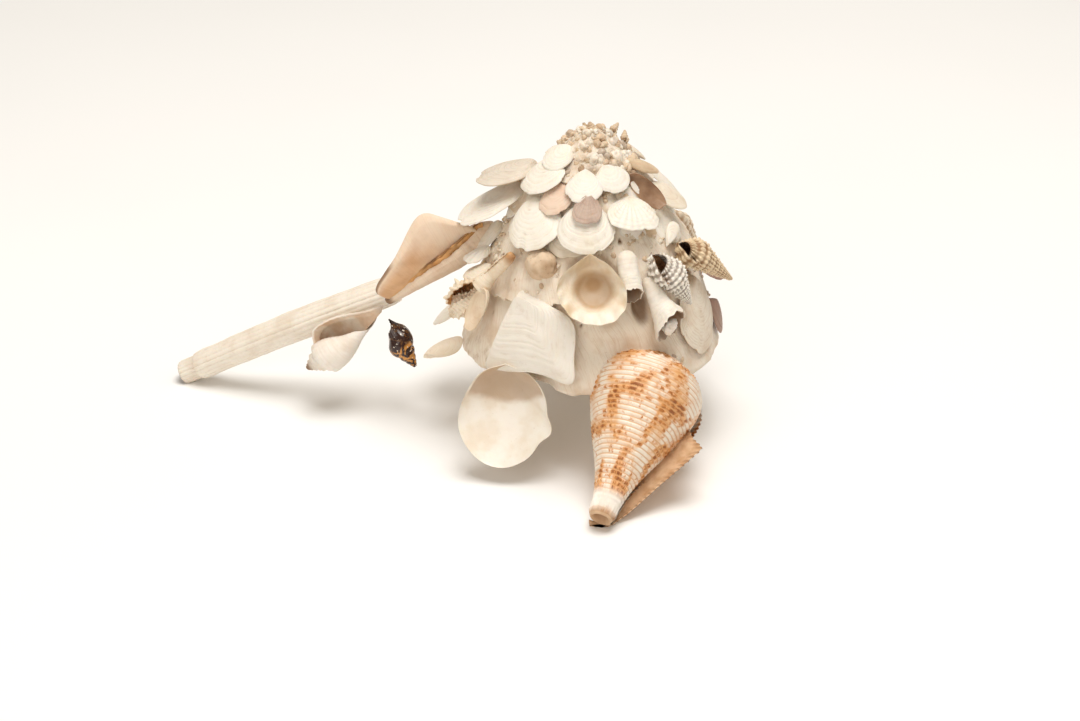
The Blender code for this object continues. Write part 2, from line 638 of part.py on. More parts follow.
def main():
    clear_scene()
    specimen = Specimen()
    build_host(specimen)
    build_fig_shell(specimen)
    build_round_valve(specimen)
    build_front_wall(specimen)
    build_left_wall(specimen)
    build_right_wall(specimen)
    build_front_tiles(specimen)
    build_left_arm(specimen)
    build_tip_cluster(specimen)
    build_back_tiles(specimen)
    build_back_wall(specimen)
    build_back_feet(specimen)
    for thing in specimen.placed:
        shade(thing.data)


main()
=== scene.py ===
"""Carrier shell seen up close: detailed shells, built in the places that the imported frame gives.

Everything is placed from the host's axis. A place is (azimuth, distance, height): degrees round the axis with
-90 at the front, and millimetres from the axis and above the rim of the host. Each attached shell lies
between a root, where it is cemented, and a tip, and its face looks toward a given direction.
"""

import math

import bpy
import numpy as np
from mathutils import Matrix, Vector


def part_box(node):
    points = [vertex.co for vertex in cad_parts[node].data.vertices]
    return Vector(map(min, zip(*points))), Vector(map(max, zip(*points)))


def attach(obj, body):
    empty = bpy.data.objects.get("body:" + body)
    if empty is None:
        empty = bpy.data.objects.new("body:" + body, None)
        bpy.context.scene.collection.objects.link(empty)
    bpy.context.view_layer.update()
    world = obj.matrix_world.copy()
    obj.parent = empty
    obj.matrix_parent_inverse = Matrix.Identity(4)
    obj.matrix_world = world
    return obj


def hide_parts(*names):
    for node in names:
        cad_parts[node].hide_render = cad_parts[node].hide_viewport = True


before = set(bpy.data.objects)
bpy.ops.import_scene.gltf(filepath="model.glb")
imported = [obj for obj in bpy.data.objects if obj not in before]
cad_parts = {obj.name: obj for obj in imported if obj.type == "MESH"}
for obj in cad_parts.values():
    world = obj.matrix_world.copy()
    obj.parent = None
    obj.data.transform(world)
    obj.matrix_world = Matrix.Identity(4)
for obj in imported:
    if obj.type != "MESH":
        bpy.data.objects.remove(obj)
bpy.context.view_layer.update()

HOST_LOW, HOST_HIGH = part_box("host_shell")
HOST_ACROSS = 72.0
HOST_HEIGHT = 62.0
MM = (HOST_HIGH.x - HOST_LOW.x) / HOST_ACROSS
AXIS = Vector(((HOST_LOW.x + HOST_HIGH.x) / 2, HOST_LOW.y + HOST_ACROSS / 2 * MM, HOST_HIGH.z - HOST_HEIGHT * MM))
# Facts per point: stain mostly marks grooves and hollows for grime and painted shade, and mark holds the shell's own
# marks and spots of painted shade
FACTS = ("grow", "turn", "inner", "stain", "mark")
TURN = 2 * math.pi


# Places

def spot(x, y, height):
    """World point this far from the host's axis at its rim."""
    return AXIS + Vector((x, y, height)) * MM


def place(azimuth, distance, height):
    turn = math.radians(azimuth)
    return spot(distance * math.cos(turn), distance * math.sin(turn), height)


def outward(azimuth, rise):
    turn = math.radians(azimuth)
    lift = math.radians(rise)
    return Vector((math.cos(turn) * math.cos(lift), math.sin(turn) * math.cos(lift), math.sin(lift)))


def between(root, tip, face):
    """Frame at root whose Y runs to tip and whose Z looks as nearly as it can along face."""
    along = (tip - root).normalized()
    across = along.cross(face).normalized()
    matrix = Matrix((across, along, across.cross(along))).transposed().to_4x4()
    matrix.translation = root
    return matrix


def at(root, tip, face):
    return between(place(*root), place(*tip), outward(*face))


def reach_of(root, tip):
    return (place(*tip) - place(*root)).length / MM


# Noise, the same on every run

def lattice(cells, seed):
    """Fixed pseudo-random numbers from -1 to 1 for whole-number places."""
    mixed = cells[..., 0] * 374761393 + cells[..., 1] * 668265263 + cells[..., 2] * 1440670441 + seed * 1013904223
    mixed = (mixed ^ (mixed >> 13)) * 1274126177
    mixed = (mixed ^ (mixed >> 16)) & 0xFFFF
    return mixed / 32767.5 - 1


def noise(points, size, seed=0):
    """Smooth noise from -1 to 1 with lumps of this size."""
    scaled = np.asarray(points, float) / size
    low = np.floor(scaled)
    part = scaled - low
    part = part * part * (3 - 2 * part)
    low = low.astype(np.int64)
    total = 0
    for corner in np.ndindex(2, 2, 2):
        weight = np.where(np.array(corner) == 1, part, 1 - part).prod(axis=-1)
        total = total + weight * lattice(low + np.array(corner), seed)
    return total


def rough(points, size, seed=0, octaves=3):
    """Noise with finer noise on it."""
    return sum(noise(points, size / 2 ** step, seed + step) / 2 ** step for step in range(octaves))


def wander(values, size, seed=0):
    """Smooth noise along a line."""
    values = np.asarray(values, float)
    return noise(np.stack([values, np.full_like(values, 0.4 * size), np.zeros_like(values)], -1), size, seed)


# Curves and grids

def ease(low, high, value):
    """0 below low, 1 above high, smooth between."""
    share = np.clip((value - low) / (high - low), 0, 1)
    return share * share * (3 - 2 * share)


def hump(value, middle, width):
    """1 at the middle, fading over this width."""
    return np.exp(-((value - middle) / width) ** 2)


def ripple(turns):
    """A cosine that repeats with every whole turn."""
    return np.cos(TURN * turns)


def crest(turns):
    """The upper halves of the same cosine."""
    return np.maximum(0, ripple(turns))


def down(count, low=0, high=1):
    """Even steps as a column."""
    return np.linspace(low, high, count)[:, None]


def circle(count):
    """Even angles round a turn, as a row."""
    return np.linspace(0, TURN, count, endpoint=False)[None, :]


def ringed(radius, turn, along, squash=1):
    """Points round the Y axis."""
    return np.stack(np.broadcast_arrays(radius * np.cos(turn), along, squash * radius * np.sin(turn)), -1)


def upright(distance, azimuth, height):
    """Points round the host's axis."""
    turn = np.radians(azimuth)
    return np.stack(np.broadcast_arrays(distance * np.cos(turn), distance * np.sin(turn), height), -1)


def on_plane(x, y):
    return np.stack([x, y, np.zeros_like(x)], -1)


def smooth_line(points, count):
    """Points at even steps along a smooth curve through the given ones."""
    points = np.asarray(points, float)
    ends = np.vstack([2 * points[0] - points[1], points, 2 * points[-1] - points[-2]])
    fine = []
    for first, low, high, last in zip(ends, ends[1:], ends[2:], ends[3:]):
        for share in np.linspace(0, 1, 24, endpoint=False):
            fine.append(0.5 * (2 * low + (high - first) * share
                               + (2 * first - 5 * low + 4 * high - last) * share ** 2
                               + (3 * low - first - 3 * high + last) * share ** 3))
    fine = np.array(fine + [points[-1]])
    length = np.concatenate([[0], np.cumsum(np.linalg.norm(np.diff(fine, axis=0), axis=1))])
    wanted = np.linspace(0, length[-1], count)
    return np.stack([np.interp(wanted, length, fine[:, axis]) for axis in range(points.shape[1])], -1)


def plate(front, back, push):
    """The two faces of a thin plate, joined round their last column, whose edge is pushed out a little."""
    edge = (front[:, -1:] + back[:, -1:]) / 2 + push
    return np.concatenate([front, edge, back[:, ::-1]], axis=1)


def faces_of(front, edge, back, count):
    """A fact for plate that is the same all along: on the front, the edge and the back."""
    return np.array([front] * count + [edge] + [back] * count)[None, :]


# Meshes

SHARP_ANGLE = 70.0


class Form:
    """Sheets of points, in millimetres, joined into one mesh, with facts per point for the materials."""

    def __init__(self):
        self.points = []
        self.faces = []
        self.facts = {name: [] for name in FACTS}
        self.count = 0

    def sheet(self, points, wrap=False, flip=False, **facts):
        points = np.asarray(points, float)
        rows, cols = points.shape[:2]
        number = self.count + np.arange(rows * cols).reshape(rows, cols)
        if wrap:
            number = np.concatenate([number, number[:, :1]], axis=1)
        quads = np.stack([number[:-1, :-1], number[:-1, 1:], number[1:, 1:], number[1:, :-1]], -1).reshape(-1, 4)
        self.faces.append(quads[:, ::-1] if flip else quads)
        self.points.append(points.reshape(-1, 3))
        for name in FACTS:
            value = np.broadcast_to(np.asarray(facts.get(name, 0), float), (rows, cols))
            self.facts[name].append(value.reshape(-1))
        self.count += rows * cols
        return self

    def add(self, other, matrix=None):
        """Join another form, moved by a 4x4 matrix in millimetres."""
        turn, shift = np.eye(3), np.zeros(3)
        if matrix is not None:
            turn, shift = np.array(matrix.to_3x3()), np.array(matrix.translation)
        for points, faces in zip(other.points, other.faces):
            self.points.append(points @ turn.T + shift)
            self.faces.append(faces + self.count)
        for name in FACTS:
            self.facts[name].extend(other.facts[name])
        self.count += other.count
        return self


def build(name, form, matrix, look, *replaced):
    """Make the object, let it ride on the body, and have it stand for its CAD nodes.

    What would pass the ground becomes a small flat spot on it.
    """
    points = np.concatenate(form.points) * MM @ np.array(matrix.to_3x3()).T
    points[:, 2] = np.maximum(points[:, 2], -matrix.translation.z)
    mesh = bpy.data.meshes.new(name)
    mesh.from_pydata(points, [], np.concatenate(form.faces))
    for fact in FACTS:
        layer = mesh.attributes.new(fact, "FLOAT", "POINT")
        layer.data.foreach_set("value", np.concatenate(form.facts[fact]).astype(np.float32))
    mesh.validate()
    mesh.shade_smooth()
    mesh.set_sharp_from_angle(angle=math.radians(SHARP_ANGLE))
    mesh.materials.append(LOOKS[look])
    thing = bpy.data.objects.new(name, mesh)
    bpy.context.scene.collection.objects.link(thing)
    thing.matrix_world = Matrix.Translation(matrix.translation)
    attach(thing, "root")
    if replaced:
        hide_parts(*replaced)


# Shapes of shells, in millimetres, each along its own Y axis

def valve(width, length, depth, fan=0.0, thick=0.8, edge=0.3, detail=(34, 96), ribs=0, rib=0.0, rings=8,
          ring=0.08, wobble=0.055, nick=0.05, wave=0.12, pit=None, outline=None, shadow=None, seed=1):
    """One half of a clam: its beak by the origin, growing along Y and bulging along Z.

    Ribs run out from the beak and rings follow the edge. Outline lists the edge's own points, from the beak
    round. Pit is (along, radius, depth) of a deeper hollow, painted darker inside as shade, and shadow is
    (reach, strength) of a painted tan shadow across the part by the beak.
    """
    rows, cols = detail
    turn = np.linspace(0, TURN, cols)
    opening = (1 - np.cos(turn)) / 2
    margin = np.stack([width / 2 * np.sin(turn) * opening ** fan * (1 + 0.45 * fan), length * opening], -1)
    if outline:
        margin = smooth_line(outline + outline[:1], cols)
        for _ in range(cols // 12):
            margin[1:-1] = 0.5 * margin[1:-1] + 0.25 * (margin[2:] + margin[:-2])
    beak = np.array([0, 0.1 * length])
    reach = margin - beak
    facing = np.arctan2(reach[:, 0], reach[:, 1])
    far = np.linalg.norm(reach, axis=1)
    grown = wobble * wander(facing, 0.6, seed) + 0.4 * wobble * wander(facing, 0.17, seed + 1)
    grown = grown - nick * ease(0.3, 0.6, wander(facing, 0.24, seed + 2))
    grown = grown + 0.5 * rib * np.cos(ribs * facing) / far * ease(2.4, 1.6, np.abs(facing))
    stage = np.concatenate([[0], np.linspace(0.05, 1, rows - 1) ** 0.85])[:, None]
    flat = beak + reach * stage[..., None] * (1 + grown * ease(0.2, 1, stage))[..., None]
    x, y = flat[..., 0], flat[..., 1]
    here = on_plane(x, y)
    rise = depth * np.maximum(1 - stage ** 2, 0) ** 0.85 + wave * rough(here, 9, seed + 5, 2)
    # Dark is painted shade: inside the pit, and as a tan shadow across the part by the beak
    dark = np.zeros_like(x)
    if pit:
        along, radius, drop = pit
        away = np.hypot(x, y - along) / radius
        rise = rise + drop * ease(1.12, 0.62, away)
        dark = 0.62 * ease(1.04, 0.7, away) + 0.26 * ease(0.5, 0.2, np.hypot(x, y - along + 0.3 * radius) / radius)
    if shadow:
        end, strength = shadow
        stained = y + 0.02 * x ** 2 + 0.5 * rough(here, 3, seed + 8)
        dark = strength * ease(1.15 * end, 0.9 * end, stained) * ease(0.97, 0.92, stage)
    age = stage * rings + 0.7 * wander(stage * length, 2.7, seed + 3) + 0.25 * noise(here, 6, seed + 4)
    ridge = ring * np.abs(2 * (age % 1) - 1) ** 0.7 * ease(0.08, 0.3, stage)
    spoke = rib * np.cos(ribs * facing) * ease(0.05, 0.6, stage) * ease(2.5, 1.7, np.abs(facing))
    gauge = edge + (thick - edge) * (1 - stage ** 2)
    outer = np.stack([x, y, rise + ridge + spoke], -1)
    inner = np.stack([x, y, rise - gauge + 1.3 * spoke * ease(0.82, 0.98, stage)], -1)
    share = np.array([0.25, 0.5, 0.75])[:, None]
    rim = outer[-1] * (1 - share[..., None]) + inner[-1] * share[..., None]
    rim[..., :2] += reach / far[:, None] * 0.39 * edge * np.sin(math.pi * share)[..., None]
    plain = np.zeros((rows + 3, cols))
    # The grooves between growth rings get stain, for grime and painted shade
    return Form().sheet(np.concatenate([outer, rim, inner[::-1]]), turn=facing * length / 2,
                        grow=np.concatenate([stage, share ** 0, stage[::-1]]) * length,
                        inner=np.concatenate([0 * stage, share, stage ** 0]),
                        stain=np.concatenate([1 - ridge / ring, plain]), mark=np.concatenate([plain, dark[::-1]]))


def coil(curve, ratio, turns, mouth, relief, per_turn=44, rows=30, wall=0.5, depth_turn=0.45, lip=0.0, squash=1):
    """A snail shell about the Y axis with its apex at the origin, growing along +Y and winding to the right.

    Curve lists (along, radius) of the last whorl from its seam to its foot, and each turn back from the mouth
    is smaller by ratio. Relief(turns from the mouth, share along the curve) stands out from it in mm.
    """
    line = smooth_line(curve, rows)
    slope = np.gradient(line, axis=0)
    normal = np.stack([-slope[:, 1], slope[:, 0]], -1)
    normal /= np.linalg.norm(normal, axis=1)[:, None]
    share = np.linspace(0, 1, rows)[None, :]
    length = np.linalg.norm(np.diff(line, axis=0), axis=1).sum()

    def strip(back, inset):
        size = ratio ** back
        stands = relief(back, share)
        out = stands * size ** 0.8 - inset
        radius = line[:, 1] * size + normal[:, 1] * out
        theta = math.radians(mouth) + TURN * back
        return np.stack([radius * np.sin(theta), line[:, 0] * size + normal[:, 0] * out,
                         squash * radius * np.cos(theta)], -1), stands

    outer_back = down(int(turns * per_turn) + 1, -turns, 0)
    inner_back = down(max(int(depth_turn * per_turn), 3), 0, -depth_turn)
    outer, outer_relief = strip(outer_back, -lip * ease(-0.07, 0, outer_back))
    middle, middle_relief = strip(np.array([[0.006]]), 0.5 * wall - lip)
    inner, inner_relief = strip(inner_back, wall - lip * ease(-0.07, 0, inner_back))
    back = np.concatenate([outer_back, [[0]], inner_back])
    return Form().sheet(np.concatenate([outer, middle, inner]), grow=share * length * ratio ** back, turn=back,
                        inner=np.concatenate([0 * outer_back, [[0.5]], inner_back ** 0]),
                        stain=0.5 - np.concatenate([outer_relief, middle_relief, 0 * inner_relief]))


def turret_curve(length, radius, ratio, bulge=0.12, base=0.22, foot=0.2):
    """Curve for coil: a side between two seams and then a rounded base that ends at the foot."""
    side_end = length * (1 - base)
    slope = radius / (side_end * (1 + bulge) / ratio ** 0.4)
    side = []
    for share in (0, 0.12, 0.3, 0.5, 0.7, 0.88, 1):
        along = side_end / ratio * ratio ** share
        side.append((along, slope * along * (1 + bulge * math.sin(math.pi * share))))
    (start, girth), last = side[0], side[-1][1]
    return ([(0.985 * start, 0.9 * girth)] + side
            + [(length * (1 - 0.72 * base), 0.9 * last), (length * (1 - 0.4 * base), last * (0.55 + 0.2 * foot)),
               (length, last * foot)])


def turned(form, length):
    """The same form the other way round: its mouth by the origin and its apex at this length along Y."""
    form.points = [points * (-1, -1, 1) + (0, length, 0) for points in form.points]
    return form


def tube(line, radius, relief, cols=40, **facts):
    """A round bar with closed ends along a line of points, with a radius for each point."""
    ahead = np.gradient(line, axis=0)
    ahead /= np.linalg.norm(ahead, axis=1)[:, None]
    side = np.cross(ahead, (0, 0, 1))
    side /= np.linalg.norm(side, axis=1)[:, None]
    over = np.cross(side, ahead)
    turn = circle(cols)
    radius = radius[:, None] + relief(line[:, 1:2], turn)
    points = (line[:, None] + side[:, None] * (radius * np.cos(turn))[..., None]
              + over[:, None] * (radius * np.sin(turn))[..., None])
    ends = [np.repeat(end[None, None], cols, axis=1) for end in (line[0], line[-1])]
    facts = {key: value if np.ndim(value) == 0 else np.concatenate([value[:1], value, value[-1:]])
             for key, value in facts.items()}
    return Form().sheet(np.concatenate([ends[0], points, ends[1]]), wrap=True, **facts)


def grain(size, seed, detail=(14, 20), bump=0.34):
    """A small rounded lump with a rough surface."""
    rise = down(detail[0], 0, math.pi)
    turn = circle(detail[1])
    ball = np.stack(np.broadcast_arrays(np.sin(rise) * np.cos(turn), np.sin(rise) * np.sin(turn), np.cos(rise)), -1)
    shape = 1 + bump * rough(ball + 7.3 * seed, 0.8, seed, 3)
    return Form().sheet(ball * shape[..., None] * np.array(size), wrap=True, flip=True,
                        stain=0.5 - 0.9 * (shape - 1) / bump)


# Materials

WHITE = (0.88, 0.82, 0.73)
CREAM = (0.80, 0.70, 0.55)
# Brown of marks, and of painted shade in pinholes, hollows and bores
BROWN = (0.20, 0.095, 0.035)
# Colour of grime and painted shade in grooves, and of speckles
DIRT_AND_SHADE = (0.42, 0.27, 0.14)
FINE_BUMP = 0.0002
COARSE_BUMP = 0.0004
INSIDE_ROUGHNESS = 0.38


class Look:
    """One material, with short ways to add its nodes."""

    def __init__(self, name):
        self.material = bpy.data.materials.new(name)
        self.material.use_nodes = True
        self.tree = self.material.node_tree
        self.here = self.node("TexCoord", "Object", {})

    def put(self, socket, value):
        if isinstance(value, bpy.types.NodeSocket):
            self.tree.links.new(value, socket)
        elif socket.type == "RGBA":
            socket.default_value = (*value, 1)
        else:
            socket.default_value = value

    def node(self, kind, output, inputs, **settings):
        """Add a node with these inputs and settings, and give one of its outputs."""
        node = self.tree.nodes.new("ShaderNode" + kind)
        for key, value in settings.items():
            setattr(node, key, value)
        for key, value in inputs.items():
            self.put(node.inputs[key], value)
        return node.outputs[output]

    def fact(self, name):
        return self.node("Attribute", "Fac", {}, attribute_name=name)

    def sum(self, kind, first, second=0):
        return self.node("Math", 0, {0: first, 1: second}, operation=kind)

    def times(self, first, second):
        return self.sum("MULTIPLY", first, second)

    def plus(self, first, second):
        return self.sum("ADD", first, second)

    def minus(self, first, second):
        return self.sum("SUBTRACT", first, second)

    def join(self, x, y=0, z=0):
        return self.node("CombineXYZ", 0, {0: x, 1: y, 2: z})

    def noise(self, scale, detail=3, vector=None, distort=0, sharp=0.5):
        return self.node("TexNoise", "Fac", {"Vector": vector or self.here, "Scale": scale, "Detail": detail,
                                             "Roughness": sharp, "Distortion": distort})

    def spread(self, value, low, high):
        """Value from low to high read as 0 to 1."""
        return self.node("MapRange", "Result", {"Value": value, "From Min": low, "From Max": high},
                         interpolation_type="SMOOTHSTEP")

    def mix(self, share, first, second):
        return self.node("Mix", "Result", {"Factor": share, "A": first, "B": second}, data_type="RGBA")

    def bump(self, height, strength, distance=FINE_BUMP, under=None):
        inputs = {"Strength": strength, "Distance": distance, "Height": height}
        return self.node("Bump", "Normal", inputs if under is None else inputs | {"Normal": under})

    def finish(self, colour, roughness, normal, subsurface=0.12, specular=0.4):
        values = {"Base Color": colour, "Roughness": roughness, "Normal": normal, "Specular IOR Level": specular,
                  "Subsurface Weight": subsurface, "Subsurface Radius": (1, 0.5, 0.25), "Subsurface Scale": 0.0015}
        for name, value in values.items():
            self.put(self.tree.nodes["Principled BSDF"].inputs[name], value)
        return self.material


def shell_look(name, light=WHITE, shade=CREAM, inside=WHITE, inside_shade=None, dirt_and_shade=DIRT_AND_SHADE, streak=0.5, patch=0.5,
               grime_and_shade=0.4, speckle=0.15, roughness=0.55, fine=0.6, marked=BROWN):
    """Natural shell: clouded colour, growth streaks along the edge, grime and painted shade in the grooves, and a fine
    grain.
    """
    look = Look(name)
    cloud = look.noise(160, 4)
    along = look.join(look.times(look.fact("grow"), 2.2), look.times(look.fact("turn"), 0.12))
    lines = look.noise(1, 4, vector=along, sharp=0.65)
    colour = look.mix(look.times(look.spread(cloud, 0.42, 0.70), patch), light, shade)
    colour = look.mix(look.times(look.spread(lines, 0.48, 0.72), streak), colour, shade)
    within = look.fact("inner")
    lining = look.mix(look.spread(cloud, 0.35, 0.7), inside, inside_shade or inside)
    colour = look.mix(within, colour, lining)
    # Grime and painted shade where stain marks grooves and hollows, broken up by noise
    soil_and_shade = look.times(look.spread(look.noise(420, 5, sharp=0.6), 0.45, 0.75),
                      look.times(look.spread(look.fact("stain"), 0.2, 1.1), grime_and_shade))
    colour = look.mix(soil_and_shade, colour, dirt_and_shade)
    dots = look.spread(look.noise(1500, 2), 0.66, 0.76)
    colour = look.mix(look.times(dots, speckle), colour, dirt_and_shade)
    # Marks and painted shade in the mark colour, where mark says
    colour = look.mix(look.fact("mark"), colour, marked)
    finish = look.plus(look.times(cloud, 0.25), roughness - 0.12)
    finish = look.minus(finish, look.times(within, roughness - INSIDE_ROUGHNESS))
    coarse = look.bump(lines, 0.45 * fine, COARSE_BUMP)
    return look.finish(colour, finish, look.bump(look.noise(2300, 3, sharp=0.6), 0.3 * fine, under=coarse))


def fig_look():
    """Spotted shell: pale cords with orange-brown dashes that gather into darker flames."""
    look = Look("fig_spotted")
    cord = look.sum("DIVIDE", look.fact("grow"), CORD)
    number = look.sum("FLOOR", look.plus(cord, 0.5))
    off_ridge = look.sum("ABSOLUTE", look.minus(cord, number))
    turn = look.fact("turn")
    shift = look.noise(1, 0, vector=look.join(look.times(number, 7.31), 3.7))
    drift = look.times(look.noise(900, 2), 1.3)
    along = look.plus(look.times(turn, 52), look.times(shift, 9))
    dash = look.noise(1, 2.5, vector=look.join(look.plus(along, drift), look.times(number, 3.17),
                                               look.times(off_ridge, 0.9)))
    flame = look.noise(1, 2, vector=look.join(look.times(turn, 11), look.times(cord, 0.16), 5), distort=0.6)
    wavy = look.plus(off_ridge, look.times(look.minus(look.noise(1400, 2), 0.5), 0.35))
    on_cord = look.spread(wavy, 0.46, 0.20)
    depth = look.plus(dash, look.times(look.minus(flame, 0.5), 0.95))
    blush = look.noise(230)
    colour = look.mix(look.spread(blush, 0.4, 0.7), (0.90, 0.80, 0.68), (0.86, 0.66, 0.50))
    colour = look.mix(look.times(look.spread(flame, 0.44, 0.62), 0.85), colour, (0.80, 0.42, 0.15))
    colour = look.mix(look.times(look.spread(off_ridge, 0.30, 0.46), 0.75), colour, (0.74, 0.40, 0.17))
    colour = look.mix(look.times(look.spread(depth, 0.46, 0.66), on_cord), colour, (0.66, 0.27, 0.07))
    colour = look.mix(look.times(look.spread(depth, 0.55, 0.79), on_cord), colour, (0.30, 0.095, 0.025))
    # Here the stain fact marks the pale band by the canal's end
    colour = look.mix(look.fact("stain"), colour, (0.90, 0.84, 0.76))
    lining = look.mix(look.spread(look.noise(300, 4), 0.35, 0.7), (0.74, 0.52, 0.33), (0.56, 0.34, 0.18))
    colour = look.mix(look.fact("inner"), colour, lining)
    # Marks: dark teeth and canal tip, and painted shade in the slit by the lip and in the bore
    colour = look.mix(look.fact("mark"), colour, (0.24, 0.11, 0.045))
    return look.finish(colour, look.plus(look.times(blush, 0.2), 0.26), look.bump(look.noise(1600), 0.25), 0.06)


def dark_look():
    """Glossy near-black shell with white specks and tan flames."""
    look = Look("dark_glossy")
    flame = look.spread(look.noise(330, 2, distort=1.2), 0.50, 0.56)
    low = look.spread(look.fact("mark"), 0.30, 0.55)
    colour = look.mix(look.times(flame, look.plus(look.times(low, 0.85), 0.12)),
                      (0.032, 0.010, 0.006), (0.66, 0.30, 0.07))
    colour = look.mix(look.spread(look.noise(1250, 1), 0.66, 0.70), colour, (0.86, 0.78, 0.66))
    colour = look.mix(look.fact("inner"), colour, (0.05, 0.02, 0.012))
    return look.finish(colour, look.times(look.noise(500, 2), 0.4), look.bump(look.noise(1500, 2), 0.2), 0, 0.5)


def banded_look(name, pale, dark, bands, inside=(0.45, 0.24, 0.09)):
    """Snail with raised pale cords and beads over a darker ground, as the stain and mark facts say."""
    look = Look(name)
    cloud = look.noise(260, 4)
    depth = look.plus(look.fact("stain"), look.times(look.minus(cloud, 0.5), 0.5))
    colour = look.mix(look.spread(depth, 0.28, 0.66), pale, dark)
    colour = look.mix(look.times(look.fact("mark"), bands), colour, dark)
    colour = look.mix(look.times(look.spread(look.noise(700, 4), 0.5, 0.75), 0.4), colour, DIRT_AND_SHADE)
    colour = look.mix(look.fact("inner"), colour, inside)
    return look.finish(colour, look.plus(look.times(cloud, 0.25), 0.38), look.bump(look.noise(1900), 0.3), 0.06)


# The host

HOST_WALL = [(0.0, 36.0), (1.2, 35.6), (4.0, 34.5), (12.0, 32.0), (20.0, 29.5), (28.0, 26.5), (36.0, 22.0),
             (44.0, 17.0), (52.0, 11.0), (58.0, 6.0), (61.4, 1.6), (62.0, 0.4)]
HOST_BASE = [(-0.9, 35.4), (0.4, 33.0), (-1.6, 28.0), (-1.2, 20.0), (0.4, 11.0), (3.0, 6.4), (10.0, 3.6),
             (15.0, 0.3)]
WHORL_RATIO = 0.53
# Azimuth, height, half width, half height and depth
DENTS = [(-91, 28, 8.5, 9, 4.6), (-124, 0, 15, 8, 5), (-62.5, 21, 3.6, 6, 2.2), (-55, 49, 4.2, 3.6, 2.6),
         (-160, 12, 7, 12, 1)]
# Azimuth, height, half width, half height and strength of the painted shade in hollows of the wall
PAINTED_SHADE_HOLLOWS = [(-63.5, 21, 3, 5.6, 0.78), (-55, 49, 4, 3.4, 0.42), (-90, 52.5, 4, 2.4, 0.5),
                (-12, 17, 2.6, 2, 0.55)]
# Azimuth, height and size of pinholes, each dented and painted dark as the shade inside it
PINHOLES = [(-70.5, 37.6, 0.65), (-158, 28.6, 0.6), (-96, 17.5, 0.4), (-150, 14, 0.4), (20, 24, 0.5)]
MOUTH_AZIMUTH, MOUTH_MIDDLE = 52, 20.5


def wall_radius(height):
    """Radius of the plain wall at this height."""
    return np.interp(height, *zip(*HOST_WALL))


def apart(azimuth, height, target, up, wide=1, tall=1):
    """How far places on the wall are from one place, in half widths and half heights."""
    off = np.radians((azimuth - target + 180) % 360 - 180)
    return np.hypot(off * wall_radius(height) / wide, (height - up) / tall)


def host_wall(height, azimuth, roots):
    """Radius of the outer wall with its seams, lumps, growth lines and the cement round each root."""
    share = np.clip(height / HOST_HEIGHT, 0, 0.985)
    rise = (np.log(1 - share) / math.log(WHORL_RATIO) - azimuth / 360) % 1
    base = wall_radius(height)
    here = upright(base, azimuth, height)
    seam = 1.5 * (0.5 - rise) - 0.7 * ease(0.90, 1, rise) + 0.5 * ease(0.10, 0, rise)
    radius = base + np.minimum(1, height / 8) * np.minimum(1, base / 20) * seam
    radius = radius + 0.55 * rough(here, 8, 3) * np.minimum(1, base / 10)
    flange = hump(azimuth, -150, 13) * ease(15, 3, height)
    radius = radius + flange * (1 + 0.3 * rough(here, 3, 30, 2))
    crust = ease(30, 40, height + 3 * rough(here, 9, 25, 2)) * ease(60, 54, height)
    radius = radius + crust * (0.45 * rough(here, 4.2, 27) + 0.35)
    lines = azimuth * 0.62 + 0.5 * height + 0.9 * rough(here, 7, 9, 2)
    radius = radius + 0.10 * wander(lines, 0.75, 4) + 0.16 * wander(lines, 2.6, 5)
    cement = np.zeros_like(radius)
    for target, up, spread in roots:
        near = apart(azimuth, height, target, up, 1, 1 / 1.15)
        cement = np.maximum(cement, np.exp(-near ** 2 / (2 * spread ** 2)))
    grit = rough(here, 1.6, 17, 2)
    radius = radius + cement * (0.8 + 0.35 * grit)
    for *where, depth in DENTS:
        radius = radius - depth * ease(1, 0.35, apart(azimuth, height, *where))
    mark = np.zeros_like(radius)
    # Painted shade in the hollows of the wall
    for *where, depth in PAINTED_SHADE_HOLLOWS:
        near = apart(azimuth, height, *where) + 0.14 * rough(here, 3, 23, 2)
        mark = np.maximum(mark, depth * ease(1.05, 0.65, near))
    # Pinholes: small dents painted dark as the shade inside them
    for *where, size in PINHOLES:
        near = apart(azimuth, height, *where)
        radius = radius - ease(size, 0.2 * size, near)
        mark = np.maximum(mark, ease(1.1 * size, 0.5 * size, near))
    # Grime on the cement and spire tip, grime and painted shade in the seams, a darker patch near azimuth -45, and
    # painted shade on the flange and low on the left
    stain = cement * (0.75 + 0.5 * grit) + 0.7 * ease(0.93, 1, rise) + 0.25 * rough(here, 11, 21, 2)
    stain = stain + 0.9 * ease(51, 56, height + rough(here, 4, 29, 2))
    stain = stain + 1.1 * flange + 0.8 * hump(azimuth, -45, 9) * hump(height, 40, 4)
    return radius, lines, stain + 0.5 * ease(-150, -175, azimuth) * ease(14, 4, height), mark


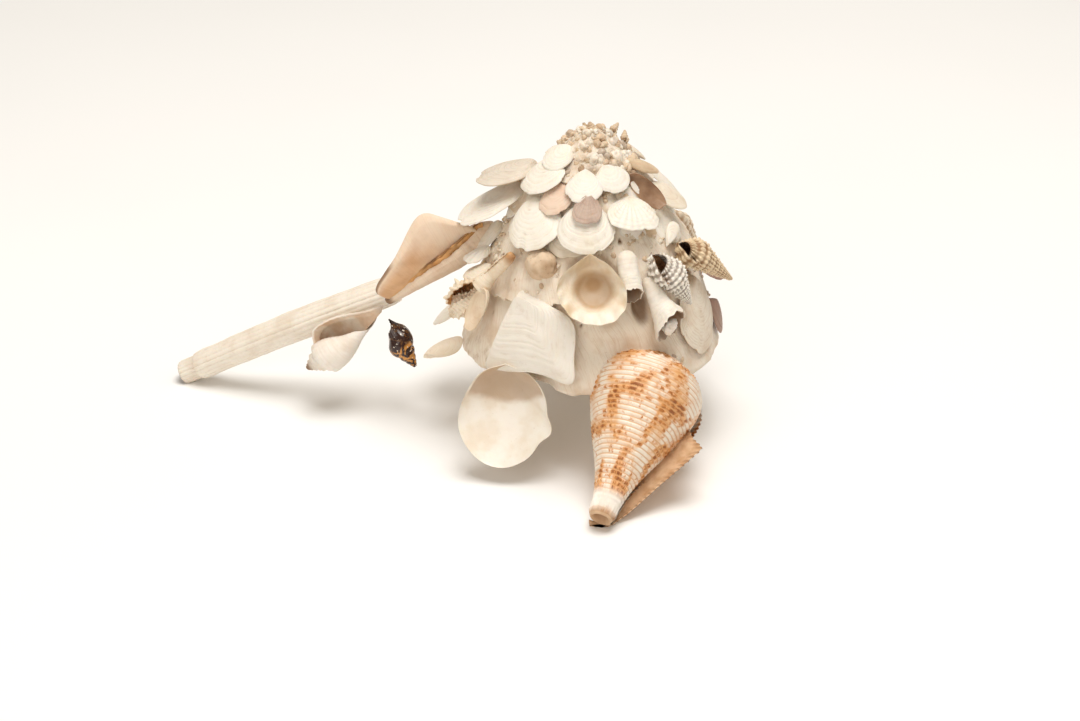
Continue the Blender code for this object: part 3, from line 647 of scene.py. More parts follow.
def host_base(share, azimuth):
    """Distance and height of the underside, with its growth lines and the mouth's hollow."""
    line = smooth_line(HOST_BASE, 200)
    share = share + 0 * azimuth
    steps = np.linspace(0, 1, 200)
    height = np.interp(share, steps, line[:, 0])
    distance = np.interp(share, steps, line[:, 1])
    dent, _, wide, _, depth = DENTS[1]
    off = np.radians((azimuth - dent + 180) % 360 - 180) * HOST_ACROSS / 2
    distance = distance - depth * ease(1, 0.35, np.abs(off) / wide) * ease(22, 35, distance)
    here = upright(distance, azimuth, height)
    lines = azimuth * 0.5 + 1.1 * distance + 1.2 * rough(here, 9, 31, 2)
    bumps = 0.22 * wander(lines, 1.7, 32) + 0.12 * np.sin(2.6 * distance) + 0.3 * rough(here, 7, 33)
    height = height + np.minimum(1, distance / 12) * bumps
    inward = (azimuth - MOUTH_AZIMUTH) % 360
    along = np.where(inward < 200, inward, -1)
    half = 10 * (1 - 0.35 * ease(20, 95, along))
    across = np.clip(1 - ((distance - MOUTH_MIDDLE) / half) ** 2, 0, 1) ** 0.6
    mouth = across * ease(0, 7, along) * ease(104, 50, along)
    lip = hump(along, 0, 4) * np.clip(1 - ((distance - MOUTH_MIDDLE) / 13) ** 2, 0, 1) * (along >= 0)
    return distance, height + 12 * mouth - 1.1 * lip, lines, mouth


def host_shell(roots):
    azimuth = np.linspace(-180, 180, 470, endpoint=False)[None, :]
    height = HOST_HEIGHT * (1 - (1 - down(104)) ** 1.18)[::-1] + 0 * azimuth
    radius, lines, stain, mark = host_wall(height, azimuth, roots)
    edge = 0.012 * wander(azimuth / 9, 1, 41) + 0.006 * wander(azimuth / 2.5, 1, 42)
    wall = upright(radius * (1 + edge * ease(6, 0, height)), azimuth, height)
    distance, under, base_lines, mouth = host_base(down(66) ** 0.9, azimuth)
    distance = distance * (1 + edge * ease(20, 34, distance))
    base = upright(distance, azimuth, under)
    rim = 0.45 * wall[-1:] + 0.55 * base[:1]
    rim[..., :2] *= 1.004
    blank = 0 * azimuth
    return Form().sheet(np.concatenate([wall, rim, base]), wrap=True, flip=True,
                        grow=np.concatenate([lines, lines[-1:], base_lines]),
                        turn=np.concatenate([height, blank, distance]),
                        inner=0.9 * np.concatenate([0 * stain, blank, mouth]),
                        stain=np.concatenate([stain, blank + 0.3, 0.35 + 0.3 * mouth]),
                        mark=np.concatenate([mark, blank, 0 * mouth]))


# The fig shell

FIG_ROOT = (-51.0, 30.4, 3.6)
FIG_TIP = (-89.0, 65.4, -23.6)
FIG_PROFILE = [(1.2, 0.2), (0.6, 3.0), (1.0, 6.0), (2.2, 8.6), (4.0, 11.4), (6.5, 14.9), (10.0, 16.7), (15.0, 16.3),
               (21.0, 14.1), (28.0, 11.0), (34.0, 8.0), (40.0, 5.6), (46.0, 4.2), (50.0, 3.6)]
FIG_BORE = [(50.0, 3.6), (50.6, 3.2), (50.2, 2.4), (49.0, 1.4), (48.4, 0.1)]
FIG_RUN = 66.0
FIG_START = math.radians(-155)
LAST_TURN_GROWS = 1.18
CORD = 1.42
LIP_OUTER = [(-11.0, 12.5), (-14.8, 19.4), (-18.2, 22.8), (-16.8, 25.8), (-14.8, 29.0), (-11.9, 33.8), (-8.5, 40.0),
             (-4.9, 46.2), (-1.2, 50.8), (2.6, 51.4)]
LIP_INNER = [(-5.0, 12.0), (-6.5, 18.0), (-6.5, 23.0), (-5.8, 28.0), (-4.6, 33.0), (-3.2, 38.0), (-1.6, 43.0),
             (0.0, 47.0), (1.6, 49.4), (3.4, 49.8)]
LIP_TEETH = 31


def fig_shell():
    line = smooth_line(FIG_PROFILE, 210)
    along, radius = line[:, :1], line[:, 1:]
    grow = down(210, 0, FIG_RUN)
    share = down(400).T
    turn = FIG_START + TURN * share
    keep = ease(0, 3, radius)
    ribs = ripple(grow / CORD) * (0.21 * keep * ease(64, 52, grow) + 0.02)
    fine = 0.05 * np.cos(150 * turn) * keep + 0.10 * wander(16 * turn + 0.02 * grow, 1.3, 51)
    knobs = np.maximum(0, np.cos(27 * turn)) * (0.55 * hump(along, 3.4, 1.5) * ease(14, 10.5, grow)
                                                + 0.80 * hump(grow, 14.5, 2))
    beads = (0.38 * np.maximum(0, np.cos(11 * turn)) * ease(61.5, 63.5, grow) * (0.7 + 0.3 * ripple(grow / 0.9))
             * ease(66, 65.2, grow))
    spire = 0.35 * ripple(np.log(np.maximum(radius, 0.2)) / 0.55 + share) * ease(11, 7, radius) * ease(6, 4, along)
    points = ringed(radius * LAST_TURN_GROWS ** -share + ribs + fine + knobs + beads, turn, along + spire)
    tip = 0.75 * ease(64, 66, grow)
    form = Form().sheet(points, grow=grow, turn=share, stain=ease(57.5, 61, grow) * ease(66.5, 63, grow),
                        mark=0.35 * tip, inner=tip)
    bore = smooth_line(FIG_BORE, 16)
    # The canal's bore is painted darker toward its depth, as shade
    form.sheet(ringed(bore[:, 1:] * LAST_TURN_GROWS ** -share, turn, bore[:, :1]), mark=down(16, 0.1, 0.7),
               grow=FIG_RUN, inner=1)
    return form.add(fig_lip())


def fig_lip():
    """The wide outer lip: a curved plate with a toothed edge, tan inside."""
    outer, inner = smooth_line(LIP_OUTER, 170)[:, None], smooth_line(LIP_INNER, 170)[:, None]
    run = down(170)
    out = down(30).T
    teeth = crest(LIP_TEETH * run) ** 0.8
    flat = inner + (outer - inner) * (out * (1 + 0.035 * teeth * ease(0.75, 1, out)))[..., None]
    x, y = flat[..., 0], flat[..., 1]
    base = -4.7 + 0.020 * x ** 2 - 0.02 * (y - 25) + 0.9 * ease(0.75, 1, out) * ease(0.05, 0.3, run)
    base = base + 0.25 * rough(on_plane(x, y), 5, 61, 2)
    half = (0.55 + 0.5 * (1 - out)) / 2
    cords = 0.13 * ripple(LIP_TEETH * run)
    front = np.stack([x, y, base + half + cords * ease(0.6, 1, out) + 0.05 * wander(30 * out, 1, 62)], -1)
    back = np.stack([x, y, base - half - cords], -1)
    push = np.pad(0.12 * (outer - inner) / np.linalg.norm(outer - inner, axis=-1)[..., None], ((0, 0), (0, 0), (0, 1)))
    # Dark teeth on the outer edge, and painted shadow along the inner edge by the slit
    dark = 0.8 * teeth * ease(0.82, 1, out) + 0.6 * ease(0.35, 0, out)
    mark = np.concatenate([dark, teeth, 0 * dark], axis=1)
    return Form().sheet(plate(front, back, push), flip=True, grow=14 + run * CORD * LIP_TEETH,
                        turn=down(61, 0, 0.2).T, inner=faces_of(1, 0.6, 0, 30), mark=np.clip(mark, 0, 1))


# The arm of long shells at the left

TUSK_ROOT = (-54.5, 6.0, 10.6)
TUSK_TIP = (-117.6, 20.4, -23.8)
TUSK_LENGTH = math.dist(TUSK_ROOT, TUSK_TIP)
# Distance along, radius and how many rows follow, then the same counted back from the open end
TUSK_BUTT = [(0, 0.3, 3), (0.1, 3.8, 5), (2, 4.15, 10), (8, 4.3, 70), (0.55 * TUSK_LENGTH, 4.35, 40)]
TUSK_END = [(6.3, 4, 3), (5.9, 3.92, 4), (5.6, 3.5, 14), (0.5, 3.45, 4), (0.05, 3.3, 4), (0, 3, 3), (0.4, 2.8, 10),
            (5, 2.6, 8), (10, 0.2, 1)]
CONCH_BODY = [(0.0, 0.3), (0.8, 1.8), (3.0, 3.2), (6.0, 4.3), (9.5, 5.0), (14.0, 5.0), (20.0, 4.2), (27.0, 3.1),
              (33.0, 2.1), (36.6, 1.7), (37.8, 0.9), (38.0, 0.1)]
CONCH_SQUASH = 0.86
# The wing's edge as (along, height above the mouth)
CONCH_WING = [(4.6, 1.0), (5.6, 4.6), (8.0, 8.6), (10.6, 12.2), (13.0, 14.8), (16.0, 15.4), (20.0, 14.0),
              (26.0, 11.0), (32.0, 8.4), (36.4, 6.4), (38.0, 4.6), (37.2, 2.2)]
SMALL_CONCH = [(7.0, 2.2), (7.6, 3.6), (9.4, 6.2), (12.0, 7.3), (16.0, 7.0), (20.5, 5.4), (25.0, 3.2), (29.0, 1.9),
               (30.6, 1.4)]


def tusk_shell():
    """A long ribbed tube, a little curved, with a step near its open end."""
    profile = TUSK_BUTT + [(TUSK_LENGTH - back, radius, count) for back, radius, count in TUSK_END]
    line = np.concatenate([np.linspace(first[:2], second[:2], first[2], endpoint=False)
                           for first, second in zip(profile, profile[1:] + profile[-1:])])
    along, radius = line[:, :1], line[:, 1:]
    turn = circle(150)
    bore = np.cumsum(np.abs(np.diff(line[:, 0], prepend=0)))[:, None] > TUSK_LENGTH + 0.02
    uneven = 1 + 0.35 * wander(4 * turn, 1, 71)
    ribs = 0.34 * (np.abs(np.cos(9 * turn + 0.3 * wander(along, 30, 72))) ** 0.7 - 0.6) * uneven
    lumps = 0.05 * wander(along, 0.6, 73) + 0.10 * wander(along, 4, 74) + 0.10 * rough(ringed(6, turn, along), 6, 75)
    points = ringed(radius + np.where(bore, 0, (ribs + lumps) * ease(0.5, 3, radius)), turn, along)
    points[..., 2] += 0.9 * np.sin(math.pi * along / TUSK_LENGTH)
    # A ring of painted shade just inside the open end; the bore's dark lining colours are painted shade too
    rim = ease(1.6, 0, np.abs(along - TUSK_LENGTH + 0.2)) * ease(3.5, 3.1, radius) * ease(0, 1, radius)
    return Form().sheet(points, wrap=True, flip=True, grow=along / 2, turn=8 * turn, inner=bore,
                        stain=0.45 - 2.2 * ribs, mark=0.75 * rim)


def flared_conch():
    """A long shell whose outer lip stands up as a tall wing over its mouth."""
    body = smooth_line(CONCH_BODY, 120)
    along, radius = body[:, :1], body[:, 1:]
    turn = circle(110)
    seams = 0.25 * ease(0.75, 1, (along / 6 + turn / TURN) % 1) * ease(16, 8, along)
    lumps = (0.07 * wander(22 * turn + 0.3 * along, 1, 81) + 0.12 * rough(ringed(5, turn, along), 4, 82)
             + 0.05 * wander(along, 0.5, 83) - seams)
    form = Form().sheet(ringed(radius + lumps * ease(0.2, 1.5, radius), turn, along, CONCH_SQUASH), wrap=True,
                        flip=True, grow=along, turn=4 * turn, stain=0.25, mark=0.9 * ease(35, 37, along))
    form.add(conch_wing())
    # Two thin tubes along the crease where the wing meets the body, orange and dark brown as painted shade in the
    # crease
    run = np.linspace(3, 35.5, 90)
    girth = np.interp(run, body[:, 0], body[:, 1])
    high = np.minimum(0.8 * girth, 3.4 - 0.05 * run) + 0.2 * wander(run, 2, 87)
    seam = np.stack([-np.sqrt(np.maximum(girth ** 2 - (high / CONCH_SQUASH) ** 2, 0.3)) - 0.1, run, high], -1)
    form.add(tube(seam, 0.72 + 0.22 * wander(run, 1.4, 88),
                  lambda along, turn: 0.22 * rough(ringed(1, turn, along), 0.9, 89), cols=18, inner=1,
                  mark=np.clip(0.30 + 0.5 * wander(run, 1.2, 90), 0, 0.9)[:, None]))
    return form.add(tube(seam + (-0.25, 0, 0.75), 0.30 + 0.12 * wander(run, 1, 96), lambda along, turn: 0 * turn,
                         cols=12, inner=1, mark=np.clip(0.65 + 0.5 * wander(run, 1.6, 97), 0, 1)[:, None]))


def conch_wing():
    """The wing: a thin plate with a turned edge, orange on the side that faces the mouth and deeper toward the crease
    as painted shade.
    """
    edge = smooth_line(CONCH_WING, 120)
    foot = down(120, 4, 36)
    run, out = down(120), down(44).T
    high = edge[:, 1:] * out ** 0.95
    far = foot + (edge[:, :1] - foot) * out ** 0.9
    here = on_plane(high, far)
    bow = -0.045 * high * (18 - high) - 0.6 + 0.5 * rough(here, 9, 84, 2) * out + 0.9 * ease(0.86, 1, out)
    half = (0.5 + 0.55 * (1 - out) + 0.5 * ease(0.88, 0.97, out) * ease(1, 0.97, out)) / 2
    wave = 0.06 * wander(60 * run, 1, 85)
    near = np.stack([bow + half + 0.4 * wave, far, high], -1)
    back = np.stack([bow - half + wave, far, high], -1)
    # Orange tint, partly painted shade: it deepens toward the crease and toward the far end of the concave face
    orange_and_shade = 0.65 * ease(0.28, 0.80, run + 0.10 * rough(here, 6, 86, 2)) * ease(1.02, 0.60, out)
    orange_and_shade = np.clip(orange_and_shade + 0.45 * ease(0.25, 0, out), 0, 1)
    dark = ease(0.90, 0.97, out) * ease(0.70, 0.78, run) * ease(1, 0.97, run)
    # The side that faces the mouth gets more stain
    return Form().sheet(plate(near, back, np.array([0, 0, 0.15])), grow=foot, turn=1,
                        inner=np.concatenate([0 * orange_and_shade, 0.3 * orange_and_shade[:, -1:], orange_and_shade[:, ::-1]], axis=1),
                        mark=np.concatenate([0.5 * dark, dark[:, -1:], 0.8 * dark[:, ::-1]], axis=1),
                        stain=faces_of(0.1, 0, 0.5, 44))


def small_conch():
    """A white conch with a wide smooth mouth and a thick turned lip."""
    def relief(back, share):
        knobs = 0.45 * crest(11 * back) * hump(share, 0.22, 0.06)
        return 0.10 * ripple(9 * back) * ease(0.6, 0, share) + 0.05 * np.cos(90 * share) + knobs
    form = coil(SMALL_CONCH, 1.62, 5, -62, relief, per_turn=80, rows=64, wall=0.7, depth_turn=0.5, lip=0.9,
                squash=0.86)
    return with_mark(turned(form, 30.6), (0, 1, 3, 24, 27.5, 29, 30.6), (0.55, 0.4, 0, 0, 0.15, 0.9, 0.9))


# Snails and broken tubes

def with_mark(form, along, share):
    """Give the form's mark fact by place along its Y axis."""
    form.facts["mark"] = [np.interp(points[:, 1], along, share) for points in form.points]
    return form


def knobbed(cords, ribs, cord, rib, beads, wobble):
    """Relief of spiral cords and ribs along the axis, with beads where they cross."""
    def relief(back, share):
        spiral = 0.5 + 0.5 * ripple(cords * share)
        across = 0.5 + 0.5 * ripple(ribs * back + 0.25 * share)
        fine = wobble * wander(40 * back + 3 * share, 1, 95)
        return cord * (spiral - 0.5) + rib * (across - 0.5) + beads * (spiral * across) ** 1.5 + fine
    return relief


def snail(length, radius, ratio, whorls, style, curve=None, mouth=-70, shape=None, **options):
    """Snail shell with its mouth by the origin. Style is knobbed's and shape is turret_curve's."""
    form = coil(curve or turret_curve(length, radius, ratio, **(shape or {})), ratio, whorls, mouth,
                knobbed(*style), **options)
    return turned(form, length)


def whelk_curve(length, radius):
    shares = [(0.28, 0.50), (0.31, 0.78), (0.40, 0.97), (0.52, 1), (0.64, 0.78), (0.78, 0.42), (0.92, 0.27), (1, 0.2)]
    return [(length * along, radius * out) for along, out in shares]


SPINY_LENGTH = 29.6
SPINY_CURVE = [(5.6, 2.6), (6.2, 4.0), (8.0, 5.0), (10.6, 5.1), (13.4, 4.0), (15.6, 2.2), (18.0, 1.55), (24.0, 1.35),
               (29.4, 1.0)]
SPINY_CANAL = [(-0.2, 0.0, 0.0), (-0.5, 5.0, 0.3), (-0.4, 10.0, 0.5), (-0.8, 14.0, 0.8)]


def spiny_shell():
    """A shell with a long canal and rows of frilled spines on its body."""
    def relief(back, share):
        frill = crest(7.5 * back + 0.1 * np.sin(9 * share)) ** 3
        comb = 0.35 + 0.65 * crest(8.5 * share) ** 1.5
        body = ease(0, 0.06, share) * ease(0.62, 0.42, share) + 0.35 * ease(0.45, 0.6, share) * ease(0.98, 0.8, share)
        tall = 1 + 1.1 * hump(share, 0.2, 0.06)
        uneven = 1 + 0.4 * wander(31 * back + 17 * share, 1, 91)
        return (frill * comb * body * tall * uneven + 0.16 * ripple(17 * share)
                + 0.06 * wander(80 * back + 9 * share, 1, 92))
    form = turned(coil(SPINY_CURVE, 1.5, 5, -6, relief, per_turn=110, rows=90, wall=0.6, depth_turn=0.5, lip=1,
                       squash=0.95), SPINY_LENGTH)
    canal = smooth_line(SPINY_CANAL, 60)
    along = canal[:, 1:2]
    form.add(tube(canal, np.interp(canal[:, 1], (0, 1, 9, 14), (1.1, 1.5, 1.8, 2.8)),
                  lambda along, turn: 0.10 * wander(2 * along + turn, 1, 93), cols=36, stain=0.3, grow=along,
                  inner=0.9 * ease(3.6, 0.6, along)))
    lobe = valve(6.6, 12.6, 1.9, 0.1, thick=0.6, edge=0.35, detail=(36, 110), rings=7, wobble=0.05, seed=94)
    lobe.facts["inner"] = [0.15 * value for value in lobe.facts["inner"]]
    return form.add(lobe, between(Vector((-3.6, 11.5, 2.2)), Vector((-8.2, 23, 1.4)), Vector((0.1, 0, -1))))


def broken_tube(length, low, high, seed, wall=0.45, lean=3.0):
    """A tube with a rounded shut end at the root and a broken open end."""
    depth = 0.75
    run, back = down(90), down(40, 1, 1 - depth)
    turn = circle(90)
    jagged = 0.96 * wander(3 * np.cos(turn) + 4, 0.9, seed + 2) + 0.8 * wander(4 * np.sin(turn), 0.5, seed + 3)

    def reach(share):
        slant = lean * (0.5 + 0.5 * np.sin(turn)) * ease(0.3, 1, share)
        return share * length - np.abs(jagged) * ease(0.7, 1, share) - slant

    def girth(share):
        return low + (high - low) * share ** 1.4
    shut = np.sqrt(1 - np.clip(1 - run * length / low, 0, 1) ** 2)
    lumps = 0.14 * rough(ringed(3, turn, length * run), 3, seed) + 0.05 * wander(run * length, 0.5, seed + 1)
    lumps = lumps * ease(0, 0.15, run)
    bore = (girth(back) - wall) * np.sqrt(np.maximum(1 - ((1 - back) / depth) ** 4, 0))
    inner = ringed(bore, turn, reach(back) - 0.05)
    inner[..., 0] += 0.08 * wander(5 * turn, 1, seed + 4) * np.cos(turn)
    # Inside, beyond the rim, the bore is painted dark brown as its shade
    return Form().sheet(np.concatenate([ringed(girth(run) * shut + lumps, turn, reach(run)), inner]), wrap=True,
                        flip=True, grow=np.concatenate([run, back]) * length, turn=2 * turn,
                        inner=np.concatenate([0 * run, back ** 0]),
                        mark=np.concatenate([0 * run, 0.75 * ease(1, 0.82, back)]),
                        stain=np.concatenate([0.5 - 1.5 * lumps, 0 * inner[..., 0]]))


# The looks, as light, shade, inside and inside shade, and what else differs

SHELL_COLOURS = {
    "shell_white": ((WHITE, CREAM, WHITE), {}),
    "shell_chalk": (((0.85, 0.79, 0.71), (0.76, 0.67, 0.55), (0.84, 0.77, 0.68), (0.80, 0.70, 0.58)),
                    dict(patch=0.4, streak=0.35, grime_and_shade=0.25)),
    # The mark colour is the amber painted shade in the cockle's deep pit
    "shell_cream": (((0.85, 0.76, 0.63), (0.70, 0.54, 0.37), (0.86, 0.78, 0.66), (0.72, 0.56, 0.38)),
                    dict(marked=(0.40, 0.22, 0.08))),
    "shell_grey": (((0.72, 0.64, 0.54), (0.50, 0.41, 0.31), (0.55, 0.44, 0.32), (0.40, 0.29, 0.19)),
                   dict(streak=0.7)),
    "shell_pink": (((0.80, 0.62, 0.49), (0.60, 0.39, 0.27), (0.78, 0.58, 0.45)), {}),
    # The darker mauve is partly painted shadow, for the ribbed tile lies under the white tile
    "shell_mauve": (((0.56, 0.43, 0.35), (0.34, 0.22, 0.17), (0.50, 0.36, 0.30)), dict(grime_and_shade=0.6)),
    "shell_purple": (((0.40, 0.27, 0.21), (0.22, 0.12, 0.09), (0.36, 0.21, 0.17), (0.20, 0.10, 0.07)),
                     dict(streak=0.8)),
    "shell_tan": (((0.70, 0.54, 0.37), (0.50, 0.33, 0.19), (0.62, 0.45, 0.29), (0.44, 0.28, 0.16)),
                  dict(grime_and_shade=0.6)),
    # Pale outside, with inside colours that are painted shade in the long valve's hollow
    "shell_brown_within": (((0.84, 0.75, 0.64), (0.66, 0.52, 0.40), (0.36, 0.22, 0.13), (0.20, 0.10, 0.05)), {}),
    "grit": (((0.72, 0.56, 0.40), (0.48, 0.32, 0.19), (0.87, 0.80, 0.70), (0.74, 0.62, 0.48)),
             dict(dirt_and_shade=(0.22, 0.12, 0.06), patch=0.9, grime_and_shade=0.8, speckle=0.5, roughness=0.75, fine=1)),
    "host_wall": (((0.86, 0.77, 0.65), (0.68, 0.52, 0.37), (0.66, 0.47, 0.31), (0.40, 0.25, 0.14)),
                  dict(streak=0.65, patch=0.7, grime_and_shade=0.7, speckle=0.25, roughness=0.6, fine=0.9)),
    # The mark colour is the tan of the round valve's painted shadow
    "round_valve": (((0.84, 0.76, 0.65), (0.70, 0.56, 0.42), (0.90, 0.84, 0.76), (0.82, 0.72, 0.60)),
                    dict(grime_and_shade=0.5, marked=(0.40, 0.24, 0.11))),
    # Inside colours: near black, painted shade deep in the bore
    "tusk_ribbed": (((0.86, 0.79, 0.69), (0.68, 0.55, 0.42), (0.22, 0.13, 0.08), (0.12, 0.06, 0.03)),
                    dict(streak=0.2, grime_and_shade=0.5, dirt_and_shade=(0.46, 0.34, 0.24))),
    # Inside colours: orange, deepened toward the crease as painted shade
    "conch_orange": (((0.82, 0.66, 0.51), (0.70, 0.49, 0.34), (0.78, 0.42, 0.16), (0.60, 0.27, 0.08)),
                     dict(grime_and_shade=0.3)),
    # Inside colours: darker, painted shade in the mouth
    "conch_white": (((0.88, 0.82, 0.74), (0.74, 0.62, 0.50), (0.84, 0.74, 0.62), (0.66, 0.47, 0.32)),
                    dict(grime_and_shade=0.35)),
    "spiny_cream": (((0.84, 0.73, 0.58), (0.66, 0.46, 0.28), (0.66, 0.36, 0.14), (0.36, 0.16, 0.05)),
                    dict(dirt_and_shade=(0.26, 0.13, 0.055), grime_and_shade=1.3, roughness=0.6)),
    # Inside colours: painted shade in the bores
    "tube_white": (((0.87, 0.81, 0.72), (0.76, 0.65, 0.52), (0.44, 0.35, 0.26), (0.26, 0.18, 0.12)),
                   dict(grime_and_shade=0.5, dirt_and_shade=(0.40, 0.34, 0.28))),
}
LOOKS = {name.removeprefix("shell_"): shell_look(name, *colours, **rest)
         for name, (colours, rest) in SHELL_COLOURS.items()}
LOOKS |= {
    "fig": fig_look(),
    "dark": dark_look(),
    "grey_snail": banded_look("grey_banded", (0.86, 0.81, 0.73), (0.36, 0.31, 0.27), 0.75, (0.30, 0.16, 0.07)),
    "auger": banded_look("auger_beaded", (0.78, 0.62, 0.42), (0.30, 0.16, 0.07), 0.4, (0.10, 0.05, 0.03)),
    "back_snail": banded_look("back_banded", (0.80, 0.70, 0.56), (0.42, 0.27, 0.15), 0.5),
}


# The valves

FACET_EDGE = [(-0.8, 0.2), (3.2, 3.8), (7.6, 10.1), (11.7, 16.5), (13.5, 19.9), (4.4, 21.6), (-5.5, 23.8),
              (-13.0, 26.6), (-14.3, 19.0), (-15.2, 10.2), (-8.4, 5.0)]
COCKLE_EDGE = [(0.1, 0.3), (4.4, 3.9), (7.4, 8.9), (7.7, 13.7), (5.0, 18.2), (-0.1, 19.9), (-6.3, 17.1),
               (-9.0, 13.5), (-10.0, 9.1), (-8.1, 5.0), (-4.2, 2.4)]
ROUND_EDGE = [(-0.3, -0.2), (6.7, 2.3), (11.0, 7.4), (12.1, 13.4), (13.3, 15.4), (13.1, 18.4), (10.4, 20.0),
              (7.2, 24.9), (0.5, 28.1), (-5.9, 26.4), (-10.8, 21.3), (-12.4, 15.9), (-11.3, 10.4), (-7.0, 2.7)]
FIRST_SEED = 11
CEMENT_SPREAD = 3.4
# A root farther out than this is on another shell, not on the host
HOST_REACH = 40

# Node, root, tip, face, look, width, depth and what else shapes the valve
VALVES = [
    ("round_valve", (-128, 37.6, 5.4), (-121.5, 47, -22.4), (80, -20), "round_valve", 25, 5.5,
     dict(length=29, outline=ROUND_EDGE, detail=(80, 220), rings=22, ring=0.10, wave=0.25, shadow=(10.0, 0.62),
          wobble=0.012, nick=0)),
    ("facet_valve", (-132, 29.2, 24), (-116, 37.6, 0.6), (-124, 20), "chalk", 28, 2.6,
     dict(length=25.6, outline=FACET_EDGE, detail=(90, 240), rings=11, ring=0.13, wobble=0.03, wave=0.6)),
    ("cockle_valve", (-92, 26.5, 37.2), (-87, 37.8, 20.2), (90, -34), "cream", 19.5, 4.6,
     dict(length=20.5, outline=COCKLE_EDGE, detail=(80, 260), ribs=26, rib=0.20, rings=12, pit=(9.6, 5.9, 2.4))),
    ("thin_shard", (-38, 25.4, 34), (-22, 24.8, 38.8), (-70, 20), "white", 4, 0.8, dict(length=8, fan=0.5)),
    ("side_valve", (-24, 29, 24), (-33, 36.8, 2), (-28, 20), "host_wall", 18, 2.4,
     dict(length=23, fan=0.2, detail=(60, 150), rings=18, wave=0.3)),
    ("purple_valve", (-5, 33.2, 12), (-8, 37, 2.4), (-7, 20), "purple", 8, 1.8, dict(length=10, fan=0.2, rings=9)),
    ("ledge_valve", (2, 29.4, 21), (-5, 37.4, 17.6), (0, 60), "purple", 7, 1.4, dict(length=8.6, fan=0.2, rings=9)),
    ("pointed_chip", (-172, 47, -4.4), (-169, 35.6, 0.8), (-110, 60), "cream", 6, 1.4,
     dict(length=12.4, fan=0.5, ribs=9, rib=0.22, nick=0.15, wave=0.4)),
    ("left_pale_valve", (176, 24, 33), (179, 32.4, 24.4), (180, 40), "white", 10, 1.8,
     dict(length=11, fan=0.1, ring=0.14, wave=0.3)),
    ("left_small_valve_1", (-171, 27.4, 27.8), (-168, 36, 25.4), (-170, 65), "chalk", 7, 1.4,
     dict(length=9, fan=0.2, ribs=16, rib=0.12, wave=0.3)),
    ("left_small_valve_2", (-161, 28, 24.6), (-166, 36.4, 21.4), (-165, 65), "cream", 7, 1.4,
     dict(length=9, fan=0.2, ring=0.14, wave=0.3)),
    ("front_tile", (-97, 14.6, 46.8), (-94, 25.6, 37), (-95, 48), "white", 16, 2.4,
     dict(fan=0.25, detail=(60, 160), rings=9, ring=0.14, wave=0.3)),
    ("front_left_tile", (-152, 16.6, 45), (-127, 26.6, 35.4), (-138, 48), "white", 16, 2.4,
     dict(fan=0.1, detail=(60, 160), rings=12, wave=0.25)),
    ("front_right_tile", (-51, 15, 46.8), (-61, 24.4, 41.4), (-57, 60), "white", 15, 1.6,
     dict(fan=0.15, detail=(60, 160), ribs=30, rib=0.08, wobble=0.08, wave=0.35)),
    ("left_lower_tile", (175, 18.2, 44.2), (-175, 36.4, 35.6), (-175, 60), "white", 17, 2.2,
     dict(fan=0.1, detail=(60, 160), rings=11, wave=0.4)),
    ("left_upper_tile", (170, 14.6, 50), (-178, 31.2, 46.6), (180, 70), "grey", 15, 1.8,
     dict(fan=0.1, detail=(60, 150), rings=15, ring=0.14)),
    ("middle_tile", (-164, 11, 53.6), (-143, 19.4, 48), (-150, 50), "white", 15.5, 1.8,
     dict(fan=0.15, detail=(50, 140), rings=9, wave=0.3)),
    ("pink_tile", (-133, 13.2, 49.8), (-120, 20.8, 44.4), (-125, 42), "pink", 9.6, 1.4, dict(fan=0.1, rings=7)),
    ("white_tile", (-100, 10, 53.6), (-98, 19.4, 48.4), (-99, 52), "chalk", 10.6, 1.6,
     dict(fan=0.25, rings=7, wobble=0.06)),
    ("ribbed_tile", (-93, 15.8, 49.6), (-95, 23.4, 44), (-95, 50), "mauve", 8, 1.4,
     dict(fan=0.3, ribs=22, rib=0.14, rings=6)),
    ("right_white_tile", (-74, 9.4, 54.4), (-62, 16.6, 50), (-69, 52), "chalk", 9.6, 1.3, dict(fan=0.1, rings=7)),
    ("top_left_tile", (-140, 6.4, 57.4), (-156, 14.4, 53.6), (-148, 52), "white", 10, 1.6, dict(fan=0.1, rings=7)),
    ("dark_long_valve", (-42, 13.2, 51.8), (-29, 22.4, 42.8), (120, -20), "brown_within", 5.6, 1.9,
     dict(wobble=0.03, edge=0.5, thick=1)),
    ("small_long_valve", (-28, 10.4, 54), (-2, 18.4, 49.4), (-15, 60), "tan", 5, 1.2, {}),
    ("pale_right_tile", (-14, 15.4, 46.4), (-4, 25.6, 40.4), (-8, 52), "cream", 11, 1.5, dict(fan=0.1)),
    ("back_cockle", (84, 26.4, 35.6), (86, 37.2, 19.6), (-95, -34), "cream", 18, 4,
     dict(length=19, fan=0.1, detail=(60, 220), ribs=26, rib=0.2, rings=10)),
    ("back_scallop", (92, 37.6, 3), (92, 45, -28), (-90, -10), "pink", 27, 5.5,
     dict(length=31.4, fan=0.3, detail=(80, 260), ribs=22, rib=0.35, rings=12)),
    ("left_rim_valve", (158, 35.8, 3), (160, 47.4, -5), (160, 50), "white", 13, 2.4, dict(length=14, fan=0.2)),
]
VALVES = [(*row, dict(rest, seed=seed)) for seed, (*row, rest) in enumerate(VALVES, FIRST_SEED)]
for number, (azimuth, look) in enumerate(zip((28, 60, 92, 122, 150), ("white", "cream", "grey", "chalk", "pink")), 1):
    VALVES.append((f"back_tile_{number}", (azimuth, 17, 45.6), (azimuth + 4, 27, 37.4), (azimuth, 50), look, 13, 2.2,
                   dict(length=13, fan=0.15, detail=(40, 120), rings=9, wobble=0.06, wave=0.3, seed=40 + number)))
